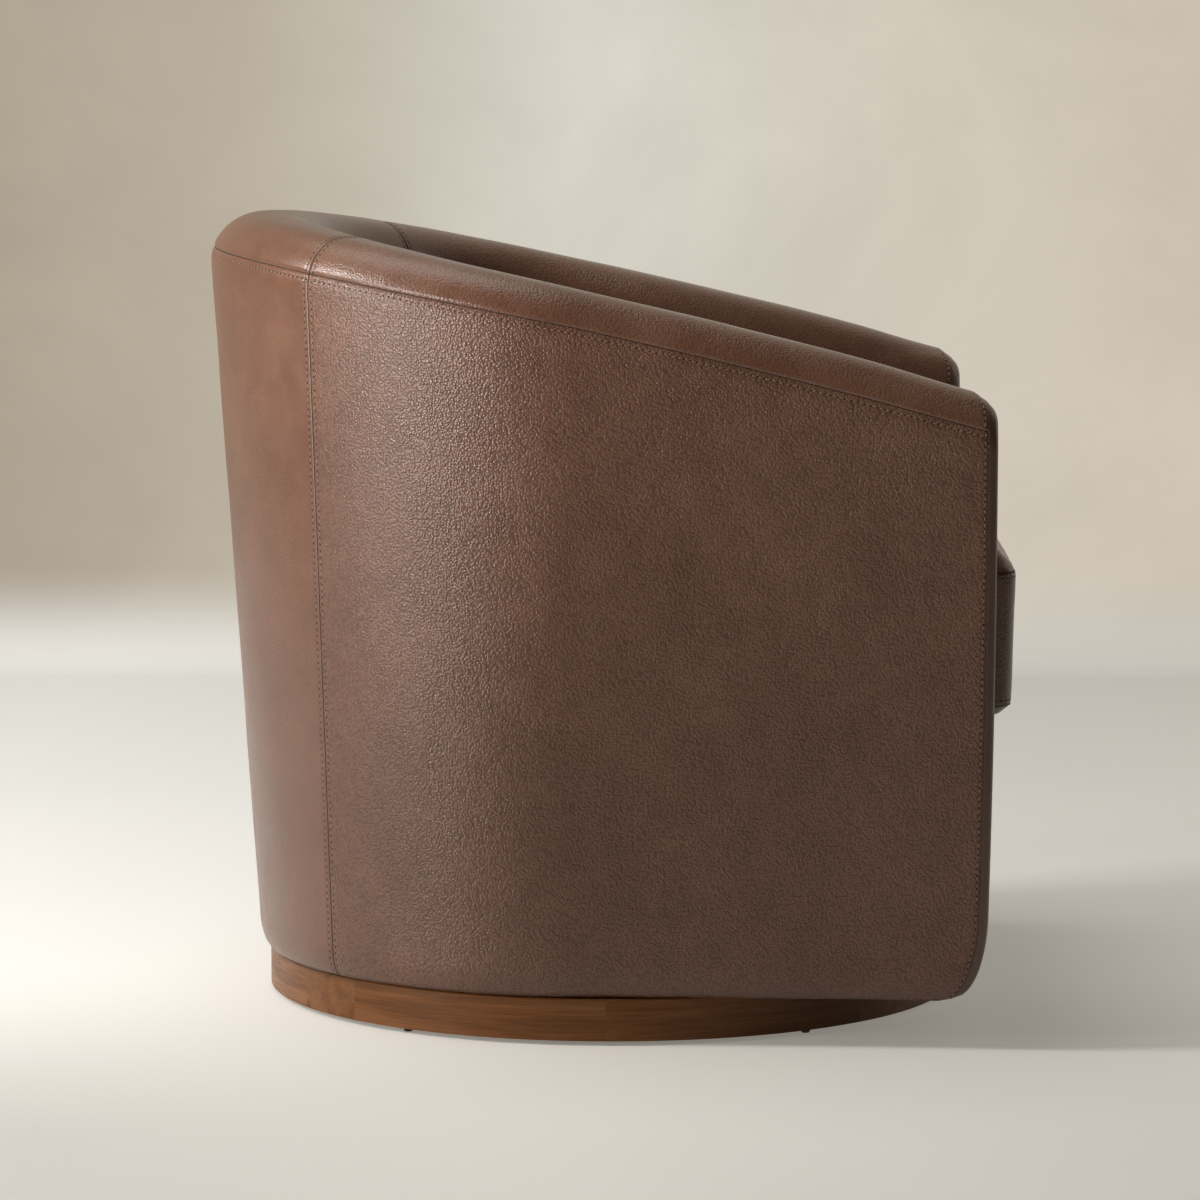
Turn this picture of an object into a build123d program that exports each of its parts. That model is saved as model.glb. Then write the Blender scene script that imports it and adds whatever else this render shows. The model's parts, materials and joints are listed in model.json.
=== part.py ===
"""Swivel barrel chair: an upholstered tub seat that turns on a round timber plinth.

Millimetres, +Z up. The origin is on the floor under the swivel axis and the sitter faces -Y,
so the sitter's left arm is on +X. The tub wall is one horseshoe: every layer of it, from the
outer leather to the frame and the foam, is a loft through the same upright stations, set in
from the leather's outer face by its own amount.
"""

import os
from math import cos, pi, radians, sin, sqrt

from build123d import *

# ---------------------------------------------------------------- driving dimensions (mm)
# Tub outline. Half-widths and reaches are measured to the leather's outer face.
back_height = 762.0  # floor to the crest of the back
arm_height = 606.0  # floor to the crest at the arms' front
crest_bulge = 7.1  # rise of the crest line above the straight slope
back_crest_y = 328.0  # where the crest is highest
arm_front_y = -361.0  # front face of the arms
arc_centre_y = 30.0  # centre of the curved back, where the arms begin
outline_low_z = 46.0  # the lower outline is given at this height, the tub's underside
outline_high_z = 715.0  # the upper outline is given at this height
low_half_width = 343.0
low_back_reach = 316.0  # from the arc's centre
low_flare = 16.0  # the arms open by this much from the arc's centre to the front
high_half_width = 354.0
high_back_reach = 361.0
high_flare = 30.0

# Wall section
arm_roll_out = 40.0  # outer part of the rounded top, measured across the wall
back_roll_out = 52.0
arm_roll_flat = 10.0
back_roll_flat = 14.0
arm_roll_in = 42.0
back_roll_in = 52.0
roll_drop = 47.0  # height of the rounded top
arm_foot_thicker = 4.0  # extra thickness of the wall at the seat deck
back_foot_thicker = 16.0
bottom_roll_height = 30.0
bottom_roll_in = 6.8
front_corner_depth = 45.0  # the lower front corner is drawn back in an ellipse
front_corner_height = 90.0
top_corner_depth = 20.0  # so is the arms' upper front corner
top_corner_height = 38.0
front_edge_radius = 10.0
top_seam_drop = 33.0  # the outer seam below the crest
rear_seam_angle = 43.0  # of the upright seams, up from the X axis about the arc's centre
front_seam_depth = 12.0  # the front panels wrap this far round the arms

# Layers of the wall
leather = 1.5
layer_gap = 0.3
liner = 3.0
frame_depth = 35.0
front_padding = 8.0
rim_drop = 42.0  # crest to the top of the timber rim
tuck_width = 30.0  # leather turned in under the tub

# Frame
board = 18.0  # plywood of the base board, the seat board, the seat rail and the rim
seat_board_z = 48.0
seat_rail_z = 270.0
seat_rail_width = 70.0
stud_width = 22.0
post_width = 74.0
post_depth = 50.0
front_rail_thick = 22.0
front_recess = 9.0  # the front panel stands this far behind the arms' front
front_pad = 7.0
front_flap = 62.0  # leather turned back over the front of the deck
toe_rail_depth = 24.0
toe_rail_height = 40.0
dust_cover_thick = 1.2
dust_cover_spare = 6.0  # between the dust cover and the plate it is cut round

# Seat deck
strap_width = 50.0
strap_thick = 1.5
strap_pitch = 92.0
strap_end_in = 3.0  # strap ends in front of the upper studs
long_strap_places = (-2, -1, 0, 1, 2)  # in pitches from the middle of the deck
cross_strap_places = (-3, -2, -1, 0, 1, 2)  # in pitches from the shifted middle
cross_strap_shift = 31.0  # towards the back
deck_pad = 5.0
deck_cloth = 1.5

# Loose seat cushion
cushion_front_y = -380.0
cushion_side_gap = 5.0
cushion_foot = 15.0  # underside to the lower seam
boxing_height = 124.0  # between the two seams
cushion_crown = 33.0  # upper seam to the top of the crown
boxing_draw_in = 3.0
cushion_foot_in = 14.0
cushion_corner = 22.0
cushion_cover = 1.5
crown_steps = 4
crown_flat_in = 170.0  # the crown is level this far inside the seam

# Plinth
plinth_set_in = 6.0  # the plinth's face stands this far inside the tub's sides
plinth_wall = 22.0
plinth_low_z = 4.3
plinth_high_z = 44.0
plinth_chamfer = 1.2
plinth_block_angle = 52.4  # centres of the short blocks, up from the X axis
plinth_block_arc = 14.0
base_board_z = 10.0
corner_block_width = 15.0
corner_block_length = 60.0
corner_block_count = 6
glide_angle = 35.0  # of the side glides, up from the X axis
glide_inset = 11.0  # glide centres inside the plinth's face
glide_radius = 6.0
glide_flat_radius = 3.6

# Roller swivel
plate_size = 230.0
plate_thick = 4.0
plate_corner = 20.0  # cut off each corner
plate_turn = 45.0  # the upper plate is turned this far against the lower one
track_radius = 64.0  # middle of the track the rollers run on
roller_length = 12.0
roller_count = 6
roller_clearance = 0.03  # between the rollers and each plate
cage_thick = 2.4
cage_half_width = 8.0
cage_pocket_clearance = 0.25
pivot_radius = 10.0
pivot_head = 6.0
pivot_head_height = 3.6
pivot_running_clearance = 0.05
pivot_end_play = 0.3
well_radius = 26.0  # hole in the seat board round the pivot's head
screw_circle = 138.0
screw_count = 4
screw_radius = 2.4
screw_head_radius = 5.0
screw_head_height = 3.0
screw_length = 14.0
bolt_radius = 3.0
bolt_head_radius = 7.0
bolt_head_height = 3.4
hole_clearance = 0.1

# ---------------------------------------------------------------- derived places
ARM_STATIONS = 3  # strips along each arm
BACK_STATIONS = 16  # strips round the back
EDGE_STEPS = 2  # strips round the arms' front edges
ROLL_STEPS = 3  # strips round each half of the rounded top
FOOT_STEPS = 2  # strips round the lower edge
CORNER_STEPS = 3  # strips round the drawn-back lower front corner
TOP_CORNER_STEPS = 3  # and round the upper one
CUSHION_CORNER_STEPS = 3  # strips round each front corner of the cushion
CUSHION_BACK_STEPS = 8  # strips round each half of its back
GLIDE_SIDES = 8
WALL_RUN = 720.0  # the wall's lofts run on below its foot, parallel to the crest
MARGIN = 60.0  # what trims the wall reaches this far outside it
CUT_PAST = 1.0  # cutters run on this far past what they cut
OFF_MIDDLE = 1.0  # a solid whose centre is nearer to the mid-plane than this lies on it
FRONT_MARGIN = 40.0  # what cuts across the wall runs this far ahead of it
BACK_STUD_ANGLES = (26.0, 58.0, 90.0, 122.0, 154.0)
ARM_STUD_SHARES = (0.4, 0.82)
FAR = 1000.0  # beyond the chair in every direction

seam_y = arm_front_y + front_seam_depth
frame_front_y = arm_front_y + leather + layer_gap + front_padding + layer_gap
board_front_y = arm_front_y + front_corner_depth
post_back_y = frame_front_y + post_depth
front_panel_y = arm_front_y + front_recess
front_rail_y = front_panel_y + leather + front_pad + 2 * layer_gap
front_rail_low_z = outline_low_z + front_corner_height
seat_board_top = seat_board_z + board
seat_rail_top = seat_rail_z + board
strap_top = seat_rail_top + 2 * strap_thick
inner_foot_z = strap_top + 2 * layer_gap
pad_top = strap_top + layer_gap + deck_pad
deck_top = pad_top + deck_cloth
frame_out = leather + layer_gap + liner + layer_gap
frame_in = frame_out + frame_depth
base_board_top = base_board_z + board
plinth_radius = low_half_width - plinth_set_in
plinth_inner = plinth_radius - plinth_wall
bearing_z = (base_board_top + seat_board_z) / 2
roller_radius = bearing_z - base_board_top - plate_thick - roller_clearance


# ---------------------------------------------------------------- stations of the tub wall
def arm_opening(y):
    """Share of the full flare at this place along the arm."""
    return ((arc_centre_y - y) / (arc_centre_y - arm_front_y)) ** 2


def back_reach(angle, half_width, depth):
    """Distance from the arc's centre to an elliptical back."""
    return 1 / sqrt((cos(angle) / half_width) ** 2 + (sin(angle) / depth) ** 2)


def arm_station(side, y):
    opening = arm_opening(y)
    low = low_half_width + low_flare * opening
    high = high_half_width + high_flare * opening
    return {"y": y, "dx": side, "dy": 0.0, "low": low, "high": high, "turn": 0.0}


def back_station(angle):
    low = back_reach(angle, low_half_width, low_back_reach)
    high = back_reach(angle, high_half_width, high_back_reach)
    turn = sin(angle) ** 2
    return {"y": arc_centre_y, "dx": cos(angle), "dy": sin(angle), "low": low, "high": high, "turn": turn}


def horseshoe(ahead=0.0):
    """Stations from the right arm's front, round the back, to the left arm's front."""
    start = arm_front_y + front_edge_radius
    ys = [start + (arc_centre_y - start) * i / ARM_STATIONS for i in range(ARM_STATIONS)]
    if ahead:
        ys.insert(0, start - ahead)
    right = [arm_station(-1.0, y) for y in ys]
    step = pi / BACK_STATIONS
    back = [back_station(pi - step * i) for i in range(BACK_STATIONS + 1)]
    left = [arm_station(1.0, y) for y in reversed(ys)]
    return right + back + left


def reach(station, z):
    """Outer face of the tub at height z, along the station's direction."""
    share = (z - outline_low_z) / (outline_high_z - outline_low_z)
    return station["low"] + (station["high"] - station["low"]) * share


def between(station, arm_value, back_value):
    return arm_value + (back_value - arm_value) * station["turn"]


def roll_sizes(station):
    out = between(station, arm_roll_out, back_roll_out)
    flat = between(station, arm_roll_flat, back_roll_flat)
    inner = between(station, arm_roll_in, back_roll_in)
    return out, flat, inner


def crest_z(station):
    """Height of the wall's crest, which falls from the back to the arms' front."""
    out, flat, _ = roll_sizes(station)
    y = station["y"] + station["dy"] * (station["high"] - out - flat / 2)
    share = (y - arm_front_y) / (back_crest_y - arm_front_y)
    bulge = 4 * crest_bulge * share * (1 - share)
    return arm_height + (back_height - arm_height) * share + bulge


def inner_face(station, z):
    """Inner leather face: straight from the roll to the deck, where the wall is thicker."""
    roll_z = crest_z(station) - roll_drop
    thickness = sum(roll_sizes(station))
    thicker = between(station, arm_foot_thicker, back_foot_thicker)
    top = reach(station, roll_z) - thickness
    foot = reach(station, inner_foot_z) - thickness - thicker
    return foot + (top - foot) * (z - inner_foot_z) / (roll_z - inner_foot_z)


def place(station, r, z):
    return (station["dx"] * r, station["y"] + station["dy"] * r, z)


def quarter(centre, width, height, start, steps):
    """Points of a quarter ellipse, turning clockwise from the start angle, in flat strips."""
    points = []
    for i in range(steps + 1):
        angle = radians(start - 90.0 * i / steps)
        points.append((centre[0] + width * cos(angle), centre[1] + height * sin(angle)))
    return points


# ---------------------------------------------------------------- solids of the tub wall
def wall_section(station, inset):
    """Closed upright section of the wall, set in from its leather faces and run on below it."""
    out, flat, inner = roll_sizes(station)
    roll_z = crest_z(station) - roll_drop
    crest_out = reach(station, roll_z) - out
    crest_in = crest_out - flat
    rise = roll_drop - inset
    low = roll_z - WALL_RUN
    section = [(reach(station, low) - inset, low)]
    section += [(2 * crest_out - r, z) for r, z in
                quarter((crest_out, roll_z), out - inset, rise, 180.0, ROLL_STEPS)]
    section += quarter_down((crest_in, roll_z), inner - inset, rise)
    section.append((inner_face(station, low) + inset, low))
    return Wire.make_polygon([place(station, r, z) for r, z in section], close=True)


def foot_section(station, inset):
    """What lies outside the rounded lower edge of the wall at a station."""
    foot_z = outline_low_z + inset
    round_z = outline_low_z + bottom_roll_height
    round_r = reach(station, round_z) - inset
    far_r = round_r + MARGIN
    # The lower edge is an arc that runs into the face without a corner.
    radius = (bottom_roll_height**2 + bottom_roll_in**2) / (2 * bottom_roll_in)
    section = [(far_r, foot_z - MARGIN), (far_r, round_z), (round_r, round_z)]
    for i in range(1, FOOT_STEPS + 1):
        z = round_z + (foot_z - round_z) * i / FOOT_STEPS
        section.append((round_r - radius + sqrt(radius**2 - (round_z - z) ** 2), z))
    section.append((section[-1][0], foot_z - MARGIN))
    return Wire.make_polygon([place(station, r, z) for r, z in section], close=True)


def quarter_down(centre, width, rise):
    """The inner half of the rounded top, from the crest down to the inner face."""
    points = quarter(centre, width, rise, 90.0, ROLL_STEPS)
    return [(2 * centre[0] - r, z) for r, z in points]


def front_corner(inset):
    """What lies outside the drawn-back lower front corner of the arms."""
    depth = front_corner_depth - inset
    height = front_corner_height - inset
    y = arm_front_y + front_corner_depth
    z = outline_low_z + front_corner_height
    curve = quarter((y, z), depth, height, 270.0, CORNER_STEPS)
    outline = [(y, -FAR), *curve, (-FAR, z), (-FAR, -FAR)]
    points = [(-FAR, *point) for point in outline]
    return Solid.extrude(Face(Wire.make_polygon(points, close=True)), Vector(2 * FAR, 0, 0))


def top_corner(inset):
    """What lies outside the drawn-back upper front corner of the arms."""
    y = arm_front_y + top_corner_depth
    low = arm_height - top_corner_height
    top = crest_z(arm_station(1.0, y))
    curve = quarter((y, low), top_corner_depth - inset, top - low - inset, 180.0, TOP_CORNER_STEPS)
    points = [(-FAR, *point) for point in [(-FAR, FAR), (-FAR, low), *curve, (y, FAR)]]
    return Solid.extrude(Face(Wire.make_polygon(points, close=True)), Vector(2 * FAR, 0, 0))


def behind(y):
    """Everything behind an upright plane across the chair."""
    return block(-FAR, FAR, y, FAR, -FAR, FAR)


def above(z):
    """Everything above a level plane."""
    return block(-FAR, FAR, -FAR, FAR, z, FAR)


def tub_wall(inset):
    """The whole tub wall as one solid, set in from its leather faces."""
    radius = front_edge_radius - inset
    sections = [wall_section(s, inset) for s in horseshoe()]
    # The front edges are rounded: the section shrinks as it nears the arms' front face.
    for i in range(1, EDGE_STEPS + 1):
        angle = pi / 2 * i / EDGE_STEPS
        y = arm_front_y + front_edge_radius - radius * sin(angle)
        edge_inset = front_edge_radius - radius * cos(angle)
        sections.insert(0, wall_section(arm_station(-1.0, y), edge_inset))
        sections.append(wall_section(arm_station(1.0, y), edge_inset))
    foot = [foot_section(s, inset) for s in horseshoe(FRONT_MARGIN)]
    wall = Solid.make_loft(sections, ruled=True) & above(outline_low_z + inset)
    wall = wall - Solid.make_loft(foot, ruled=True)
    return wall - front_corner(inset) - top_corner(inset)


def quad(station, out_inset, in_inset, low, top):
    """Upright four-sided section that follows the outer face at two insets."""
    corners = [
        place(station, reach(station, low) - out_inset, low),
        place(station, reach(station, top) - out_inset, top),
        place(station, reach(station, top) - in_inset, top),
        place(station, reach(station, low) - in_inset, low),
    ]
    return Wire.make_polygon(corners, close=True)


def level_band(out_inset, in_inset, low, top, front_y):
    """Layer of the wall between two heights."""
    sections = [quad(s, out_inset, in_inset, low, top) for s in horseshoe(FRONT_MARGIN)]
    return Solid.make_loft(sections, ruled=True) & behind(front_y)


def rising_band(out_inset, in_inset, low, drop, front_y):
    """Layer of the wall from a height up to a steady drop below the crest."""
    sections = []
    for station in horseshoe(FRONT_MARGIN):
        top = crest_z(station) - drop
        sections.append(quad(station, out_inset, in_inset, top - WALL_RUN, top))
    return Solid.make_loft(sections, ruled=True) & block(-FAR, FAR, front_y, FAR, low, FAR)


def crest_band(out_inset, in_inset, drop, thick, front_y):
    """Layer that follows the slope of the crest."""
    sections = []
    for station in horseshoe(FRONT_MARGIN):
        top = crest_z(station) - drop
        sections.append(quad(station, out_inset, in_inset, top - thick, top))
    return Solid.make_loft(sections, ruled=True) & behind(front_y)


def block(x0, x1, y0, y1, z0, z1):
    return Box(x1 - x0, y1 - y0, z1 - z0, align=Align.MIN).moved(Location((x0, y0, z0)))


def keep_middle(shape):
    """The solid of a cut slab inside the tub: the narrowest one that lies on the mid-plane."""
    central = [s for s in shape.solids() if abs(s.center().X) < OFF_MIDDLE]
    return min(central, key=lambda s: s.bounding_box().size.X)


def inside_slab(inset, low, top, front_y):
    """Slab that fills the outline between two heights, set in from the outer face."""
    slab = block(-FAR, FAR, front_y, FAR, low, top)
    ring = level_band(-MARGIN, inset, low - CUT_PAST, top + CUT_PAST, -FAR)
    return keep_middle(slab - ring)


def sector(start, end):
    """Upright wedge about the arc's centre, between two angles up from the X axis."""
    far = 2 * FAR
    a, b, middle = radians(start), radians(end), radians((start + end) / 2)
    points = [(0, arc_centre_y)]
    for angle in (a, (a + middle) / 2, middle, (middle + b) / 2, b):
        points.append((far * cos(angle), arc_centre_y + far * sin(angle)))
    return extrude(make_face(Polyline(*points, close=True)), amount=FAR)


def sides():
    """The three parts that the upright rear seams divide the tub into."""
    back = sector(rear_seam_angle, 180 - rear_seam_angle)
    left = sector(-rear_seam_angle, rear_seam_angle)
    left = left + block(0, FAR, -FAR, arc_centre_y, 0, FAR)
    right = sector(180 - rear_seam_angle, 180 + rear_seam_angle)
    right = right + block(-FAR, 0, -FAR, arc_centre_y, 0, FAR)
    return {"back": back, "left": left, "right": right}


# ---------------------------------------------------------------- leather, liner and foam
def leather_panels():
    skin = tub_wall(0.0) - tub_wall(leather)
    fronts = skin - behind(seam_y)
    skin = skin & behind(seam_y)
    below_seam = rising_band(-MARGIN, tuck_width, 0.0, top_seam_drop, -FAR)
    outer = skin & below_seam
    inside = (skin - below_seam) & above(inner_foot_z)
    parts = {}
    for name, zone in sides().items():
        parts[f"outer_{name}_leather"] = outer & zone
        parts[f"inside_{name}_leather"] = inside & zone
    for front in fronts.solids():
        name = "left" if front.center().X > 0 else "right"
        parts[f"{name}_arm_front_leather"] = front
    return parts


def liner_panels():
    out = leather + layer_gap
    low = outline_low_z + bottom_roll_height
    shell = rising_band(out, out + liner, low, roll_drop, frame_front_y)
    shell = shell - front_corner(leather + layer_gap)
    return {f"{name}_liner": shell & zone for name, zone in sides().items()}


def foam_pads():
    padding = tub_wall(leather + layer_gap)
    core = rising_band(-MARGIN, frame_in + layer_gap, 0.0, rim_drop - layer_gap, -FAR)
    inside = ((padding & behind(frame_front_y)) - core) & above(inner_foot_z)
    # The posts are wider than the rest of the frame, so the arm foam is cut round them.
    inside = inside - post_envelope(layer_gap)
    parts = {f"{name}_foam": inside & zone for name, zone in sides().items()}
    parts["arm_front_pads"] = padding - behind(frame_front_y - layer_gap)
    return parts


# ---------------------------------------------------------------- timber frame
def post_envelope(spare):
    """Both front posts, or the room they take with something to spare round them."""
    ring = rising_band(frame_out - spare, frame_out + post_width + spare, seat_board_top,
                       rim_drop + board - spare, frame_front_y)
    return ring - behind(post_back_y + spare)


def front_posts():
    return post_envelope(0.0) - front_corner(frame_front_y - arm_front_y)


def stud_slices():
    """Upright slices where the studs stand, round the back and along the arms."""
    slices = []
    for angle in BACK_STUD_ANGLES:
        turn = Location((0, arc_centre_y, 0), (0, 0, angle))
        slices.append(block(0, FAR, -stud_width / 2, stud_width / 2, 0, FAR).moved(turn))
    for share in ARM_STUD_SHARES:
        y = post_back_y + share * (arc_centre_y - post_back_y)
        for x0, x1 in ((-FAR, 0), (0, FAR)):
            slices.append(block(x0, x1, y - stud_width / 2, y + stud_width / 2, 0, FAR))
    return slices


def studs(zone):
    pieces = []
    for piece in stud_slices():
        pieces.extend((zone & piece).solids())
    return Compound(pieces)


def frame_parts():
    lower = level_band(frame_out, frame_in, seat_board_top, seat_rail_z, post_back_y)
    upper = rising_band(frame_out, frame_in, seat_rail_top, rim_drop + board, post_back_y)
    rim = crest_band(frame_out, frame_in, rim_drop, board, frame_front_y)
    rail = level_band(frame_out, frame_out + seat_rail_width, seat_rail_z, seat_rail_top, post_back_y)
    seat_board = inside_slab(frame_out + bottom_roll_in, seat_board_z, seat_board_top, board_front_y)
    for hole in bolt_places(bolt_radius + hole_clearance, seat_board_z - CUT_PAST, board + 2 * CUT_PAST):
        seat_board = seat_board - hole
    seat_board = seat_board - Cylinder(well_radius, FAR)
    return {
        "seat_board": seat_board,
        "lower_studs": studs(lower),
        "upper_studs": studs(upper),
        "front_posts": front_posts(),
        "seat_rail": rail,
        "top_rim": rim,
        "front_rail": front_rail(),
        "toe_rail": toe_rail(),
    }


def front_span(y0, y1, z0, z1, inset):
    """Piece that spans between the arms, with ends that follow their taper and flare."""
    sections = []
    for y in (y0, y1):
        station = arm_station(1.0, y)
        low_x = reach(station, z0) - inset
        high_x = reach(station, z1) - inset
        corners = [(-low_x, y, z0), (low_x, y, z0), (high_x, y, z1), (-high_x, y, z1)]
        sections.append(Wire.make_polygon(corners, close=True))
    return Solid.make_loft(sections, ruled=True)


def front_rail():
    inset = frame_out + post_width
    return front_span(front_rail_y, front_rail_y + front_rail_thick, front_rail_low_z,
                      seat_rail_top, inset)


def toe_rail():
    inset = frame_out + post_width
    y = board_front_y
    return front_span(y, y + toe_rail_depth, seat_board_top, seat_board_top + toe_rail_height, inset)


def front_panel_space(inset):
    """Space between the arms that the front panel's leather wraps, set in by its layers."""
    back_y = front_panel_y + front_flap
    low = outline_low_z + inset
    top = deck_top - inset
    space = block(-FAR, FAR, front_panel_y + inset, back_y + inset, low, top)
    space = space - front_corner(front_recess + inset)
    return keep_middle(space - tub_wall(-layer_gap))


def front_panel_parts():
    cover = front_panel_space(0.0) - front_panel_space(leather)
    arm, low = arm_station(1.0, arm_front_y), front_rail_low_z
    inset = reach(arm, low) - inner_face(arm, low) + 2 * layer_gap
    y = front_panel_y + leather + layer_gap
    pad = front_span(y, y + front_pad, front_rail_low_z, seat_rail_top, inset)
    return {"front_panel_leather": cover, "front_rail_pad": pad}


# ---------------------------------------------------------------- seat deck
def long_straps():
    """Webbing from the front rail to the back of the seat rail."""
    front = front_rail_y
    straps = []
    for i in long_strap_places:
        x = i * strap_pitch
        x_share = abs(x) + strap_width / 2
        depth = reach(back_station(pi / 2), seat_rail_top) - frame_in - strap_end_in
        width = reach(back_station(0), seat_rail_top) - frame_in - strap_end_in
        back_y = arc_centre_y + depth * sqrt(1 - (x_share / width) ** 2)
        z = seat_rail_top
        straps.append(block(x - strap_width / 2, x + strap_width / 2, front, back_y, z, z + strap_thick))
    return Compound(straps)


def cross_straps():
    """Webbing from side to side, over the lengthwise straps."""
    straps = []
    for i in cross_strap_places:
        y = i * strap_pitch + cross_strap_shift
        half = reach(arm_station(1.0, min(y, arc_centre_y)), seat_rail_top) - frame_in
        if y + strap_width / 2 > arc_centre_y:
            rise = (y + strap_width / 2 - arc_centre_y) / (low_back_reach - frame_out)
            half = half * sqrt(1 - rise**2)
        z = seat_rail_top + strap_thick
        straps.append(block(-half, half, y - strap_width / 2, y + strap_width / 2, z, z + strap_thick))
    return Compound(straps)


def deck_layer(low, top, front_y):
    slab = block(-FAR, FAR, front_y, FAR, low, top)
    return keep_middle(slab - tub_wall(-layer_gap))


def deck_parts():
    cloth_front = front_panel_y + front_flap
    pad = deck_layer(strap_top + layer_gap, pad_top, front_rail_y)
    cloth = deck_layer(pad_top, deck_top, cloth_front)
    return {"webbing_lengthwise": long_straps(), "webbing_crosswise": cross_straps(),
            "deck_pad": pad, "deck_cloth": cloth}


def dust_cover():
    cover = inside_slab(tuck_width + layer_gap, seat_board_z - dust_cover_thick, seat_board_z,
                        board_front_y + tuck_width)
    side = plate_size + 2 * dust_cover_spare
    return cover - Box(side, side, FAR, rotation=(0, 0, plate_turn))


# ---------------------------------------------------------------- loose seat cushion
def cushion_outline(inset, z):
    """D-shaped outline of the cushion, which follows the inside of the tub, drawn in evenly."""
    front = inner_face(arm_station(1.0, arm_front_y), inner_foot_z) - cushion_side_gap
    side = inner_face(back_station(0.0), inner_foot_z) - cushion_side_gap
    depth = inner_face(back_station(pi / 2), inner_foot_z) - cushion_side_gap
    corner = quarter((front - cushion_corner, cushion_front_y + cushion_corner), cushion_corner,
                     cushion_corner, 0.0, CUSHION_CORNER_STEPS)
    left = quarter((0, arc_centre_y), side, depth, 90.0, CUSHION_BACK_STEPS) + corner
    right = [(-x, y) for x, y in reversed(left[1:])]
    centre_y = (cushion_front_y + arc_centre_y + depth) / 2
    share = 1 - inset / side
    return [(x * share, centre_y + (y - centre_y) * share, z) for x, y in left + right]


def stacked(outlines):
    """Solid with flat faces between level outlines that narrow evenly."""
    ends = (outlines[0], outlines[-1])
    faces = [Face(Wire.make_polygon(corners, close=True)) for corners in ends]
    for lower, upper in zip(outlines, outlines[1:]):
        for i in range(len(lower)):
            corners = [lower[i - 1], lower[i], upper[i], upper[i - 1]]
            faces.append(Face(Wire.make_polygon(corners, close=True)))
    return Solid(Shell(faces))


def cushion_form(inset):
    """Cushion with a crown and drawn-in boxing, set in by its layers."""
    underside = deck_top + layer_gap
    lower_seam = underside + cushion_foot
    upper_seam = lower_seam + boxing_height
    foot = stacked([
        cushion_outline(cushion_foot_in + inset, underside + inset),
        cushion_outline(inset, lower_seam),
    ])
    boxing = stacked([
        cushion_outline(inset, lower_seam),
        cushion_outline(boxing_draw_in + inset, lower_seam + boxing_height / 2),
        cushion_outline(inset, upper_seam),
    ])
    crown = []
    for i in range(crown_steps + 1):
        angle = pi / 2 * i / crown_steps
        rise = (cushion_crown - inset) * sin(angle)
        crown.append(cushion_outline(inset + crown_flat_in * (1 - cos(angle)), upper_seam + rise))
    return foot, boxing, stacked(crown)


def cushion_parts():
    outer = cushion_form(0.0)
    lining = cushion_form(cushion_cover)
    names = ("cushion_bottom_cover", "cushion_boxing", "cushion_top_cover")
    parts = {name: whole - hollow for name, whole, hollow in zip(names, outer, lining)}
    foot, boxing, crown = cushion_form(cushion_cover + layer_gap)
    parts["cushion_core"] = foot + boxing + crown
    return parts


# ---------------------------------------------------------------- plinth
def plinth_sector(start, arc):
    inner, outer, edge = plinth_inner, plinth_radius, plinth_chamfer
    low, high = plinth_low_z, plinth_high_z
    profile = Polyline((inner, 0, low), (outer, 0, low), (outer, 0, high - edge),
                       (outer - edge, 0, high), (inner, 0, high), close=True)
    ring = revolve(make_face(profile), axis=Axis.Z, revolution_arc=arc)
    return ring.moved(Location((0, 0, 0), (0, 0, start)))


def glide_angles():
    return [glide_angle, 90.0, 180.0 - glide_angle, 180.0 + glide_angle, 270.0, 360.0 - glide_angle]


def polar(radius, angle, z):
    return Location((radius * cos(radians(angle)), radius * sin(radians(angle)), z), (0, 0, angle))


def round_bar(radius, z0, z1):
    return Cylinder(radius, z1 - z0, align=(Align.CENTER, Align.CENTER, Align.MIN)).moved(
        Location((0, 0, z0)))


def plinth_parts():
    half = plinth_block_arc / 2
    centres = [plinth_block_angle, 180 - plinth_block_angle, 180 + plinth_block_angle,
               360 - plinth_block_angle]
    blocks = [plinth_sector(c - half, plinth_block_arc) for c in centres]
    arcs = []
    for i, centre in enumerate(centres):
        following = centres[(i + 1) % 4] + (360 if i == 3 else 0)
        arcs.append(plinth_sector(centre + half, following - centre - plinth_block_arc))
    return {"plinth_arcs": Compound(arcs), "plinth_blocks": Compound(blocks),
            "floor_glides": floor_glides(), "base_board": base_board(),
            "corner_blocks": corner_blocks()}


def floor_glides():
    """Plastic glides under the plinth, with sides that slope in to a flat sole."""
    sole = RegularPolygon(glide_flat_radius, GLIDE_SIDES)
    top = RegularPolygon(glide_radius, GLIDE_SIDES).moved(Location((0, 0, plinth_low_z)))
    glide = loft([sole, top], ruled=True)
    ring = plinth_radius - glide_inset
    return Compound([glide.moved(polar(ring, angle, 0)) for angle in glide_angles()])


def base_board():
    disc = round_bar(plinth_inner, base_board_z, base_board_top)
    depth = screw_length + hole_clearance
    for hole in screw_places(screw_radius + hole_clearance, base_board_top - depth, FAR):
        disc = disc - hole
    return disc


def corner_blocks():
    """Glue blocks in the corner between the base board and the plinth."""
    z0, z1 = base_board_top, base_board_top + corner_block_width
    ring = round_bar(plinth_inner, z0, z1) - round_bar(plinth_inner - corner_block_width, z0, z1)
    pieces = []
    for i in range(corner_block_count):
        angle = 360 * (i + 0.5) / corner_block_count
        half = corner_block_length / 2
        piece = block(0, FAR, -half, half, 0, FAR).moved(Location((0, 0, 0), (0, 0, angle)))
        pieces.extend((ring & piece).solids())
    return Compound(pieces)


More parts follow.
